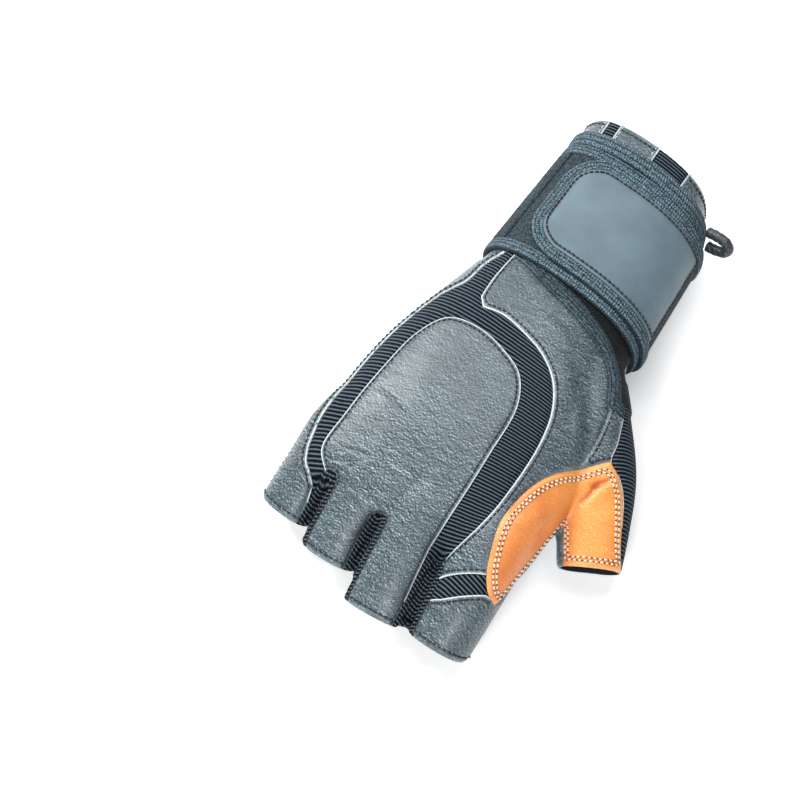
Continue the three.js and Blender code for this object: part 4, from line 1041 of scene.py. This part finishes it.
for name, (material, lift) in panelLooks.items():
    surface = panels[name]
    points, faces, normals = surface["points"], surface["faces"], surface["normals"]
    gap = borderGap(surface)
    cut = gapAlong(name, rawBeside) if material is blackLeather else np.full(len(points), 9.0)
    rowGaps = [(gapAlong(name, kinds), inwards, thread) for panel, kinds, inwards, thread in stitchRows
               if panel == name]
    row = np.min([np.abs(along - inwards) for along, inwards, _ in rowGaps] or [gap * 0 + 9], axis=0)
    turnedIn = seam["turnedIn"] + seam["cutDeeper"] * np.clip((cut - gap) / seam["cutReach"], 0, 1)
    relief = lift - (turnedIn + max(lift, 0) * 0.8) * np.exp(-(gap / seam["edgeWidth"]) ** 2)
    relief = relief - seam["rowDepth"] * np.exp(-(row / seam["edgeWidth"]) ** 2)
    if name.startswith("fourchette"):
        middle = hand["fourchetteWidth"] / 2 - gap
        relief = relief - seam["forkGroove"] * np.exp(-(middle / seam["edgeWidth"]) ** 2)
    if name == "wrist_knit_gusset":
        alongSeam = gapAlong(name, ["thumb_side_panel", "palm_leather", "thumb_base_strip"])
        onTape = (alongSeam - seam["tapeMiddle"]) / seam["tapeHalf"]     # a tape along the leather
        relief = relief + seam["tapeHeight"] * np.exp(-onTape ** 4)
    if material in (blackLeather, orangeLeather):
        relief = relief + np.minimum(gap / 4, 1) * (
            foldHeight(points) + uneven["broad"] * crumple(points, 13, 1, (1, 0.6, 1))
            + uneven["fine"] * crumple(points, 5, 2, (0.7, 1.2, 1)))
    if name == "cuff_sleeve":
        bare = np.clip((-52 - points[:, 1]) / 4, 0, 1)     # past the wrap
        relief = relief + uneven["rim"] * crumple(points, 16, 4, (1, 0.4, 1)) * bare
        relief = np.minimum(relief, np.where(points[:, 1] > -60, 0.1, 1.0))
    relief = np.minimum(relief, np.where(points[:, 1] < 8, uneven["wrappedLevel"], 2.0))
    outer = points + normals * relief[:, None]
    outer[:, 2] = np.maximum(outer[:, 2], min(leatherLevel, uneven["lowest"]))
    inner = points - normals * (hand["wall"] - 0.6)
    piece = closedSheet(name + "_skin", outer, inner, faces, [material, lining])
    indices = np.zeros(len(piece.data.polygons), np.int32)
    indices[len(faces):2 * len(faces)] = 1
    piece.data.polygons.foreach_set("material_index", indices)
    piece.data.set_sharp_from_angle(angle=math.radians(62))
    setAttribute(piece, "edge", np.concatenate([alongSeam if name == "wrist_knit_gusset" else gap, gap]))
    shade = np.clip(-foldHeight(points), 0, 2)     # painted shade in the folds
    if name == "palm_leather":
        # Painted shade on the thumb's inner side, where it turns away under the hand
        shade = shade + 0.7 * np.exp(-(innerStripGap(points) / 5) ** 2)
    for field, values in (("shade", shade), ("cut", cut), ("row", row)):
        setAttribute(piece, field, np.tile(values, 2))
    if material in (ribKnit, forkKnit, gussetKnit):
        across, along = ribRuns.get(name, (skew, 1))
        run = points[:, 0] * across + points[:, 1] * along
        if name == "ribbed_band":
            run = points[:, 1] + 0.0045 * points[:, 0] * (62 - points[:, 1])     # fanned out
        setAttribute(piece, "run", np.tile(run, 2))
    settle(piece, slots[material], *([name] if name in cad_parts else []))
    finished[name] = {"points": outer, "faces": faces, "normals": normalsOf(outer, faces)}
    for along, inwards, thread in rowGaps:
        threadRows[thread] += rowsOn(
            finished[name], along - inwards, gap, lambda places, spare: (spare > 0.8 * inwards) & (
                (places[:, 1] < -58) | (places[:, 1] > 2)))     # not under the wrap
print("stage: panels made", {name: len(part["faces"]) for name, part in panels.items()})

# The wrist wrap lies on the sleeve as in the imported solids: places along it turn into angles round the sleeve

print("stage: wrap")
wrapSides = 24
wrapStart = round(0.86 * wrapSides)


# A point outside the sleeve, straight between the rings that the wrap was built on
def sleevePoint(y, angle, grow):
    rings = np.array([-hand["cuffLength"], strapLow - hand["strapWidth"], strapLow])
    y, angle, grow = np.broadcast_arrays(*[np.asarray(value, float) for value in (y, angle, grow)])
    row = np.where(y < rings[1], 0, 1)
    share = ((y - rings[row]) / (rings[row + 1] - rings[row]))[..., None]
    return bodyPoint(rings[row], angle, grow) * (1 - share) + bodyPoint(rings[row + 1], angle, grow) * share


def wrapAngle(line):
    return 2 * math.pi * (wrapStart - line) / wrapSides


wrapLines = [0.0]
while wrapLines[-1] < hand["strapLength"]:
    line = len(wrapLines) - 1
    grown = hand["strapFace"] / 2 if line < wrapSides else strapLayer
    corners = bodyPoint(-hand["cuffLength"] / 2, wrapAngle(np.array([line, line + 1])), grown)
    wrapLines.append(wrapLines[-1] + np.linalg.norm(corners[1] - corners[0]))
wrapLines = np.array(wrapLines)
secondTurn = wrapLines[wrapSides]


# A point over the wrap, from its place along and across it and its height over the first face
def onWrap(along, across, lift):
    line = np.interp(along, wrapLines, np.arange(len(wrapLines)))
    rise = np.clip(line - wrapSides + 2, 0, 1)
    rise = rise * rise * (3 - 2 * rise)
    return sleevePoint(across, wrapAngle(line), hand["clearance"] + strapLayer * rise + lift)


# The wrap's two edges, an inset inside them; it narrows to the tab and ends in round corners
def wrapEdges(along, inset):
    narrow = np.clip((along / secondTurn - 0.92) / 0.20, 0, 1) * (hand["strapWidth"] - hand["tabWidth"]) / 2
    corner = hand["tabRadius"] - inset
    into = np.clip(along - (hand["strapLength"] - inset - corner), 0, corner)
    inwards = inset + narrow + corner - np.sqrt(corner ** 2 - into ** 2)
    return strapLow - hand["strapWidth"] + inwards, strapLow - inwards


# A closed slab on the wrap from one place to another, its upper side domed down at the edges
def wrapSlab(name, start, end, low, high, inset, material, dome=0.3, relief=None, columns=48):
    along = np.linspace(start, end, max(int((end - start) / 0.9), 8))
    corner = hand["strapLength"] - hand["tabRadius"]
    if end > corner:
        swing = np.sin(np.linspace(0, math.pi / 2, 24))
        along = np.concatenate([along[along < corner], corner + (end - corner) * swing])
    near, off = wrapEdges(np.minimum(along, end - 0.01), inset)
    share = (1 - np.cos(np.linspace(0, math.pi, columns))) / 2
    across = near[:, None] + (off - near)[:, None] * share[None]
    places = np.repeat(along[:, None], columns, 1)
    rim = np.minimum(np.minimum(across - near[:, None], off[:, None] - across),
                     np.minimum(places - start, end - places))
    rim = np.maximum(rim, 0)
    lift = high - dome * np.exp(-(rim / 0.7) ** 2)
    if relief is not None:
        lift = lift + relief(places, across, rim)
    top = onWrap(places, across, lift)
    top[..., 2] = np.maximum(top[..., 2], 0)
    under = onWrap(places, across, np.full_like(lift, low))
    rows = len(along)
    count = rows * columns
    faces = np.array(ringFaces(rows, columns, False, False))
    allFaces = faces.tolist() + (faces[:, ::-1] + count).tolist()
    loopRound = np.concatenate([np.arange(columns), np.arange(1, rows) * columns + columns - 1,
                                (rows - 1) * columns + np.arange(columns - 2, -1, -1),
                                np.arange(rows - 2, 0, -1) * columns])
    ahead = np.roll(loopRound, -1)
    allFaces += np.stack([loopRound, loopRound + count, ahead + count, ahead], -1).tolist()
    piece = newObject(name, np.concatenate([top.reshape(-1, 3), under.reshape(-1, 3)]), allFaces, [material])
    bmeshFacing(piece)
    setAttribute(piece, "edge", np.tile(rim.ravel(), 2))
    setAttribute(piece, "run", np.tile(across.ravel(), 2))
    return piece


def bmeshFacing(piece):
    made = bmesh.new()
    made.from_mesh(piece.data)
    bmesh.ops.recalc_face_normals(made, faces=made.faces)
    made.to_mesh(piece.data)
    made.free()


faceInset = hand["bindingWidth"] + hand["clearance"]
faceEnd = hand["strapLength"] - faceInset


def faceRelief(along, across, rim):
    return 0.12 * np.sin(along / 9) * np.sin(across / 11)


strap = wrapSlab("wrap_strap_cloth", 0.4, faceEnd, 0.0, hand["strapFace"], faceInset - 0.6, pileKnit, 0.1,
                 faceRelief)
settle(strap, "knit_binding", "wrap_strap")

label = {"start": faceEnd - hand["labelLength"], "low": 1.75, "high": 2.5,
         "groove": 0.28, "grooveAt": 1.6, "grooveWidth": 0.5}


def labelRelief(along, across, rim):
    crease = 0.10 * np.sin(along / 13 + across / 17) + 0.06 * np.sin(across / 5 + along / 40)
    return crease - label["groove"] * np.exp(-((rim - label["grooveAt"]) / label["grooveWidth"]) ** 2)


patch = wrapSlab("label_patch_cloth", label["start"], faceEnd, label["low"], label["high"],
                 faceInset - 0.2, labelCloth, 0.4, labelRelief)
settle(patch, "label_cloth", "label_patch")

fieldStart = hand["strapLength"] - secondTurn + 2 * hand["clearance"]


def pileRelief(along, across, rim):
    places = np.stack([along, across, np.zeros_like(along)], -1).reshape(-1, 3)
    tufts = np.array([noise.noise(place) for place in places / 1.1]) + 0.5 * np.array(
        [noise.noise(place) for place in places / 0.55])
    return 0.22 * tufts.reshape(along.shape)


pile = wrapSlab("loop_field_pile", fieldStart, fieldStart + hand["loopFieldLength"], 1.7, 2.35,
                faceInset - 0.1, pileKnit, 0.4, pileRelief, 90)
settle(pile, "knit_binding", "loop_field")


# Knitted tape along a path: a row of places for the outer edge, one for the inner, ribbed along its length
def tape(name, outer, inner, lifts, place, material, crown=0.5, cords=3, closedRound=False):
    share = (1 - np.cos(np.linspace(0, math.pi, 25))) / 2
    middle = len(share) // 2
    profile = crown * np.sqrt(np.clip(1 - (2 * share - 1) ** 4, 0, 1))
    profile = profile - 0.2 * (0.5 + 0.5 * np.cos(2 * math.pi * cords * share)) ** 2
    profile[[0, -1]] = 0
    along = outer[:, None, 0] + (inner - outer)[:, None, 0] * share
    across = outer[:, None, 1] + (inner - outer)[:, None, 1] * share
    top = place(along, across, lifts[1] - crown + profile[None] + 0 * along)
    top[..., 2] = np.maximum(top[..., 2], 0)
    sparse = slice(None, None, middle)
    under = place(along[:, sparse], across[:, sparse], lifts[0] + 0 * along[:, sparse])[:, ::-1]
    ring = np.concatenate([top, under], 1)
    sides = ring.shape[1]
    faces = ringFaces(len(ring), sides, not closedRound)
    if closedRound:
        side = np.arange(sides)
        last = (len(ring) - 1) * sides
        faces += np.stack([last + side, side, (side + 1) % sides, last + (side + 1) % sides], -1).tolist()
    piece = newObject(name, ring.reshape(-1, 3), faces, [material])
    bmeshFacing(piece)
    across = np.concatenate([share, share[sparse][::-1]]) * hand["bindingWidth"]
    setAttribute(piece, "run", np.repeat(lengths(ring[:, middle]), sides))
    setAttribute(piece, "edge", np.tile(across, len(ring)))
    return piece


def bindingLine(inset):
    corner = hand["strapLength"] - hand["tabRadius"]
    straight = np.arange(0.2, corner, 1.1)
    near, off = wrapEdges(straight, inset)
    low, high = wrapEdges(np.array(corner), 0)
    swing = np.linspace(0, math.pi / 2, 22)
    reach = hand["tabRadius"] - inset
    first = np.stack([corner + reach * np.sin(swing), low + hand["tabRadius"] - reach * np.cos(swing)], -1)
    second = np.stack([corner + reach * np.sin(swing), high - hand["tabRadius"] + reach * np.cos(swing)], -1)
    second = second[::-1]
    gap = np.linspace(first[-1], second[0], 16)[1:-1]
    return np.concatenate([np.stack([straight, near], -1), first, gap, second,
                           np.stack([straight, off], -1)[::-1]])


binding = tape("strap_binding_tape", bindingLine(-0.2), bindingLine(hand["bindingWidth"] + 0.2),
               (0.0, hand["strapThickness"] + 0.5), onWrap, bindingKnit, 1.0)
settle(binding, "knit_binding", "strap_binding")

around = np.linspace(0, 2 * math.pi, 260, endpoint=False)
bandTop = strapLow - hand["strapWidth"] - hand["clearance"]


def onBand(angle, y, lift):
    wander = 0.35 * np.sin(3 * angle + 0.6) + 0.2 * np.sin(7 * angle)
    return sleevePoint(np.minimum(y + wander, bandTop + 0.1), angle, lift)


bandEdges = [np.stack([around, np.full_like(around, y)], -1)
             for y in (bandTop, bandTop - hand["knitBandWidth"])]
band = tape("cuff_knit_band_tape", bandEdges[0], bandEdges[1],
            (hand["clearance"], hand["clearance"] + hand["knitBandThickness"] + 0.5), onBand, bindingKnit,
            1.3, 4, True)
settle(band, "knit_binding", "cuff_knit_band")


# The pull loop, a roll of leather along a curve of points

def tube(name, path, radius, material, sides, wrinkle):
    path = np.asarray(path, float)
    along = unit(np.gradient(path, axis=0))
    side = unit(np.cross(along, np.array([0.1, 0.2, 1.0])))
    rise = np.cross(side, along)
    turn = np.linspace(0, 2 * math.pi, sides, endpoint=False)
    swell = 1 + wrinkle * np.sin(5 * turn[None, :] + 0.9 * np.arange(len(path))[:, None] ** 1.02)
    ring = (path[:, None] + radius * swell[..., None]
            * (side[:, None] * np.cos(turn)[None, :, None] + rise[:, None] * np.sin(turn)[None, :, None]))
    piece = newObject(name, ring.reshape(-1, 3), ringFaces(len(path), sides), [material])
    bmeshFacing(piece)
    # The roll's own darker tone, carried in the same darkening value that holds the painted shade of the panels
    for field, value in (("edge", 5.0), ("cut", 5.0), ("row", 5.0), ("shade", 1.1)):
        setAttribute(piece, field, np.full(len(path) * sides, value))
    return piece


roll = {"radius": 2.1, "seat": 1.75, "reach": 8.0, "width": hand["knitBandWidth"]}
rollSeat = hand["clearance"] * 2 + hand["knitBandThickness"] + roll["seat"]
rollPath = flow(np.array([
    sleevePoint(bandTop - across * roll["width"], math.radians(angle), rollSeat + grow * roll["reach"])
    for across, angle, grow in ((0.22, 176, 0), (0.24, 175.5, 0.5), (0.30, 173.5, 1), (0.40, 170.5, 1.15),
                                (0.48, 167.5, 1), (0.52, 165.5, 0.5), (0.52, 165, 0))]), 0.4)
pull = tube("pull_loop_roll", rollPath, roll["radius"], blackLeather, 26, 0.05)
settle(pull, "black_leather", "pull_loop")

# The pull-off ribbons: flat webbing that leaves two fingers and folds back under the hand, on its edge

ribbon = {"width": 5.0, "thickness": 1.2, "reach": 17.0, "seam": 0.86, "sides": 20}
# How far back along the reach, how much wider, and how many degrees it leans
bends = ((0.00, 0.0, 0), (0.30, 0.25, 35), (0.62, 0.42, 70), (0.90, 0.30, 88))
for name, one, other in (("pull_off_ribbon_index", "index", "middle"),
                         ("pull_off_ribbon_pinky", "ring", "pinky")):
    seat = 2 * hand["clearance"] + hand["gripThickness"] + ribbon["thickness"] / 2
    starts = [digitPoint(one, ribbon["seam"], math.radians(-80), seat),
              digitPoint(other, ribbon["seam"], math.radians(-100), seat)]
    middle = (starts[0] + starts[1]) / 2
    upright = ribbon["width"] / 2 + 2 * hand["clearance"]
    spread = (starts[1][0] - starts[0][0]) / 2
    stations = [(-1, *bend) for bend in bends] + [(0, 1, 0, 90)] + [(1, *bend) for bend in bends[::-1]]
    centres, leans = [], []
    for side, back, wider, lean in stations:
        start = starts[0 if side < 0 else 1]
        settled = min(1, back * 1.6)
        centres.append([middle[0] + side * spread * (1 + wider),
                        start[1] + (middle[1] - start[1]) * settled - back * ribbon["reach"],
                        start[2] + (upright - start[2]) * settled])
        leans.append(math.radians(lean) * (-1 if side > 0 else 1))
    path = flow(np.array(centres), 0.8)
    share = np.linspace(0, len(leans) - 1, len(path))
    lean = np.interp(share, np.arange(len(leans)), leans)
    half = len(path) // 2
    along = unit(np.gradient(path, axis=0))
    flat = unit(np.cross(np.array([0, 0, 1.0]), along))
    rise = np.cross(along, flat)
    broad = flat * np.cos(lean)[:, None] + rise * np.sin(lean)[:, None]
    broad[half:] = broad[half:] * np.where((broad[half:] @ broad[half - 1]) < 0, -1, 1)[:, None]
    thin = unit(np.cross(broad, along))
    turn = np.linspace(0, 2 * math.pi, ribbon["sides"], endpoint=False)
    ring = (path[:, None] + broad[:, None] * (power(np.cos(turn), 0.5) * ribbon["width"] / 2)[None, :, None]
            + thin[:, None] * (power(np.sin(turn), 0.7) * ribbon["thickness"] / 2)[None, :, None])
    piece = newObject(name + "_webbing", ring.reshape(-1, 3), ringFaces(len(path), len(turn)), [webbing])
    bmeshFacing(piece)
    settle(piece, "webbing", name)

# Grip pads on the palm, cut from the same surface, each with a rounded edge and a flat face where it rests

print("stage: pads")
palmUnder, _ = splitSurface(whole, whole["points"][:, 2] - splitLevel(whole["points"][:, :2]) + 0.06 * tall)
gripOutlines = {
    "pad_thumb_base": [[-0.165, 0.320], [-0.185, 0.220], [-0.175, 0.140], [-0.120, 0.085], [-0.040, 0.062],
                       [-0.010, 0.105], [-0.040, 0.175], [-0.085, 0.285], [-0.130, 0.330]],
    "pad_long": [[-0.378, 0.618], [-0.375, 0.585], [-0.315, 0.540], [-0.184, 0.465], [-0.080, 0.395],
                 [-0.020, 0.310], [0.032, 0.190], [0.075, 0.095], [0.145, 0.045], [0.225, 0.060],
                 [0.275, 0.140], [0.296, 0.225], [0.292, 0.275], [0.215, 0.240], [0.165, 0.282],
                 [0.110, 0.370], [0.030, 0.445], [-0.095, 0.525], [-0.225, 0.590], [-0.335, 0.622]],
    "pad_middle": [[-0.385, 0.690], [-0.372, 0.655], [-0.265, 0.635], [-0.085, 0.598], [0.090, 0.524],
                   [0.215, 0.400], [0.310, 0.372], [0.338, 0.440], [0.305, 0.540], [0.192, 0.610],
                   [0.030, 0.662], [-0.153, 0.700], [-0.315, 0.706]],
    "pad_finger_base": [[-0.388, 0.845], [-0.405, 0.790], [-0.360, 0.762], [-0.205, 0.745], [-0.030, 0.730],
                        [0.143, 0.700], [0.310, 0.655], [0.405, 0.645], [0.448, 0.690], [0.430, 0.735],
                        [0.345, 0.740], [0.204, 0.775], [0.102, 0.808], [-0.010, 0.818], [-0.110, 0.848],
                        [-0.210, 0.848], [-0.310, 0.842]],
}
padLines = {name: flow(np.array(rows) * scale, 1.0, True) for name, rows in gripOutlines.items()}
oval = {"length": 13, "width": 11, "sides": 48}
for finger, side, reach in (("index", "inner", 0.60), ("index", "outer", 0.86), ("middle", "inner", 0.60),
                            ("middle", "outer", 0.86), ("ring", "inner", 0.58), ("ring", "outer", 0.86),
                            ("pinky", "inner", 0.66)):
    turn = np.linspace(0, 2 * math.pi, oval["sides"], endpoint=False)
    middle = [digitAxis(finger, reach)[0][0], digitPoint(finger, reach, -math.pi / 2, 0)[1]]
    padLines[f"pad_{finger}_{side}"] = np.stack([
        middle[0] + oval["length"] / 2 * power(np.cos(turn), 0.8),
        middle[1] + oval["width"] / 2 * power(np.sin(turn), 0.8)], -1)
for name, line in padLines.items():
    surface, _ = splitSurface(palmUnder, outlineGap(line, palmUnder["points"][:, :2]))
    points, faces, normals = surface["points"], surface["faces"], surface["normals"]
    gap = borderGap(surface)
    lift = hand["clearance"] + hand["gripThickness"] - 0.7 * np.exp(-(gap / 0.8) ** 2)
    outer = points + normals * lift[:, None]
    outer[:, 2] = np.maximum(outer[:, 2], 0)
    inner = points + normals * 0.05
    piece = closedSheet(name + "_cloth", outer, inner, faces, [padCloth])
    setAttribute(piece, "edge", np.tile(gap, 2))
    settle(piece, "grip_cloth", name)

# A double row along the side of the orange leather, from the thumb's root to its tip beside the index finger

print("stage: stitches")
orange = finished["palm_leather"]
steep = np.maximum(np.linalg.norm(orange["normals"][:, :2], axis=1), 0.35)
above = (orange["points"][:, 2] - splitLevel(orange["points"][:, :2])) / steep
for level in (3.2, 4.4):
    threadRows["cream"] += rowsOn(
        orange, above - level, borderGap(panels["palm_leather"]), lambda places, spare: (
            spare > 2.6) & (places[:, 0] > -0.50 * wide) & (places[:, 1] > 0.62 * long))

# Stitches round the pads: a row outside each, on the leather that carries it

for name in ("palm_leather", "finger_palm_leather"):
    surface = finished[name]
    under = surface["normals"][:, 2] < -0.3
    places = surface["points"][:, :2]
    gap = borderGap(panels[name])
    apart = {pad: np.where(under, outlineGap(line, places), 30.0) for pad, line in padLines.items()}
    for away in apart.values():
        if away.min() > 3:
            continue
        threadRows["dark"] += rowsOn(surface, away - 1.5, gap, lambda spots, spare: spare > 1.0)
    if name == "palm_leather":
        for one, other in (("pad_thumb_base", "pad_long"), ("pad_long", "pad_middle"),
                           ("pad_middle", "pad_finger_base")):
            threadRows["cream"] += rowsOn(
                surface, apart[one] - apart[other], np.maximum(apart[one], apart[other]),
                lambda spots, spare: (spare > 2.6) & (spare < 7.5))

# Stitches round the label patch, placed by lengths along and across the wrap

inset = 1.2     # of the row from the patch's edge
left, right = label["start"] + inset, faceEnd - inset
corner = hand["tabRadius"] - faceInset - inset
swing = np.linspace(0, math.pi / 2, 10)
straight = label["start"] + 20.0     # a place where the tab's edges run straight
near, off = wrapEdges(np.array([straight]), faceInset)
low, high = near[0] + inset, off[0] - inset
labelPath = np.concatenate([
    [[left, low]],
    np.stack([right - corner + corner * np.sin(swing), low + corner - corner * np.cos(swing)], -1),
    np.stack([right - corner + corner * np.cos(swing), high - corner + corner * np.sin(swing)], -1),
    [[left, high], [left, low]],
])


def wrapRow(path, lift, step=0.8):
    path = np.asarray(path, float)
    length = lengths(path)
    at = np.arange(0, length[-1], step)
    along, across = (np.interp(at, length, path[:, axis]) for axis in (0, 1))
    return onWrap(along, across, lift), unit(onWrap(along, across, lift + 1.0) - onWrap(along, across, lift))


threadRows["dark"].append(wrapRow(labelPath, label["high"] + 0.02))


# Geometry Nodes: a short arc of thread at every pitch along the rows, turned to the surface
def stitchTree():
    tree = bpy.data.node_groups.new("stitch_rows", "GeometryNodeTree")
    tree.is_modifier = True
    for title, kind in [("Rows", "Geometry")] + [(size, "Float") for size in (
            "Pitch", "Length", "Girth", "Rise", "Sink")] + [("Seed", "Int"), ("Thread", "Material")]:
        tree.interface.new_socket(title, in_out="INPUT", socket_type="NodeSocket" + kind)
    tree.interface.new_socket("Stitches", in_out="OUTPUT", socket_type="NodeSocketGeometry")

    def node(kind, links=(), **settings):
        made = tree.nodes.new(kind)
        for key, value in settings.items():
            setattr(made, key, value)
        for socket, value in links:
            if isinstance(value, bpy.types.NodeSocket):
                tree.links.new(value, made.inputs[socket])
            else:
                made.inputs[socket].default_value = value
        return made

    given = node("NodeGroupInput").outputs
    curve = node("GeometryNodeMeshToCurve", [("Mesh", given["Rows"])])
    spaced = node("GeometryNodeResampleCurve", [("Curve", curve.outputs[0]), ("Length", given["Pitch"])],
                  mode="LENGTH")
    half = node("ShaderNodeMath", [(0, given["Length"]), (1, 0.5)], operation="MULTIPLY")
    back = node("ShaderNodeMath", [(0, given["Length"]), (1, -0.5)], operation="MULTIPLY")
    start = node("ShaderNodeCombineXYZ", [("X", back.outputs[0]), ("Z", given["Sink"])])
    middle = node("ShaderNodeCombineXYZ", [("Z", given["Rise"])])
    end = node("ShaderNodeCombineXYZ", [("X", half.outputs[0]), ("Z", given["Sink"])])
    arc = node("GeometryNodeCurveQuadraticBezier", [
        ("Resolution", 6), ("Start", start.outputs[0]), ("Middle", middle.outputs[0]),
        ("End", end.outputs[0])])
    ring = node("GeometryNodeCurvePrimitiveCircle", [("Resolution", 6), ("Radius", given["Girth"])])
    thread = node("GeometryNodeCurveToMesh", [
        ("Curve", arc.outputs[0]), ("Profile Curve", ring.outputs[0]), ("Fill Caps", True)])
    tangent = node("GeometryNodeInputTangent")
    facing = node("GeometryNodeInputNamedAttribute", [("Name", "facing")], data_type="FLOAT_VECTOR")
    along = node("FunctionNodeAlignRotationToVector", [("Vector", tangent.outputs[0])], axis="X")
    turned = node("FunctionNodeAlignRotationToVector",
                  [("Rotation", along.outputs[0]), ("Vector", facing.outputs[0])], axis="Z", pivot_axis="X")
    vary = node("FunctionNodeRandomValue", [("Seed", given["Seed"])], data_type="FLOAT")
    vary.inputs[2].default_value = 0.88
    vary.inputs[3].default_value = 1.08
    placed = node("GeometryNodeInstanceOnPoints", [
        ("Points", spaced.outputs[0]), ("Instance", thread.outputs[0]), ("Rotation", turned.outputs[0]),
        ("Scale", vary.outputs[1])])
    real = node("GeometryNodeRealizeInstances", [("Geometry", placed.outputs[0])])
    coated = node("GeometryNodeSetMaterial", [("Geometry", real.outputs[0]), ("Material", given["Thread"])])
    node("NodeGroupOutput", [("Stitches", coated.outputs[0])])
    return tree


stitches = stitchTree()


def sew(name, rows, material, slot, seed, sizes):
    points, edges, facing = [], [], []
    for run, out in rows:
        start = len(points)
        points += run.tolist()
        facing += out.tolist()
        edges += [(start + index, start + index + 1) for index in range(len(run) - 1)]
    mesh = bpy.data.meshes.new(name + "_rows")
    mesh.from_pydata(((np.array(points) + handPlace) * millimetre).tolist(), edges, [])
    attribute = mesh.attributes.new("facing", "FLOAT_VECTOR", "POINT")
    attribute.data.foreach_set("vector", np.array(facing, np.float32).ravel())
    guide = linked(name + "_rows", mesh)
    modifier = guide.modifiers.new("stitch_rows", "NODES")
    modifier.node_group = stitches
    values = {**{title: size * millimetre for title, size in sizes.items()}, "Seed": seed, "Thread": material}
    for socket in stitches.interface.items_tree:
        if socket.in_out == "INPUT" and socket.name in values:
            modifier[socket.identifier] = values[socket.name]
    shown = guide.evaluated_get(bpy.context.evaluated_depsgraph_get())
    made = bpy.data.meshes.new_from_object(shown)
    made.name = name
    piece = linked(name, made)
    guide.modifiers.remove(modifier)
    bpy.data.objects.remove(guide)
    made.polygons.foreach_set("use_smooth", np.ones(len(made.polygons), bool))
    settle(piece, slot)
    print("sewn:", name, len(rows), "rows", len(made.polygons), "faces")


# From stitch to stitch, a stitch's length, its thread's radius, and the heights of its arc and its ends
plainStitch = {"Pitch": 2.1, "Length": 1.4, "Girth": 0.35, "Rise": 0.7, "Sink": -0.15}
fineStitch = {**plainStitch, "Girth": 0.24}
shortStitch = {"Pitch": 2.0, "Length": 1.05, "Girth": 0.36, "Rise": 0.75, "Sink": -0.1}
underThread = {"Pitch": 2.0, "Length": 2.2, "Girth": 0.26, "Rise": 0.12, "Sink": 0.05}
sew("dark_stitches", threadRows["dark"], darkThread, "webbing", 1, plainStitch)
sew("pale_stitches", threadRows["pale"], paleThread, "label_cloth", 2, fineStitch)
sew("cream_stitches", threadRows["cream"], creamThread, "orange_leather", 3, shortStitch)
sew("brown_stitches", threadRows["cream"], brownThread, "orange_leather", 4, underThread)

# The floor is a wide pale sweep, not part of the glove

floorSize = {"half": 3.0, "drop": 0.0001}     # metres
floorMesh = bpy.data.meshes.new("floor")
floorMesh.from_pydata([(side * floorSize["half"], end * floorSize["half"], -floorSize["drop"])
                       for side, end in ((-1, -1), (1, -1), (1, 1), (-1, 1))], [], [(0, 1, 2, 3)])
floorMesh.materials.append(floorPaper)
floor = linked("floor", floorMesh)
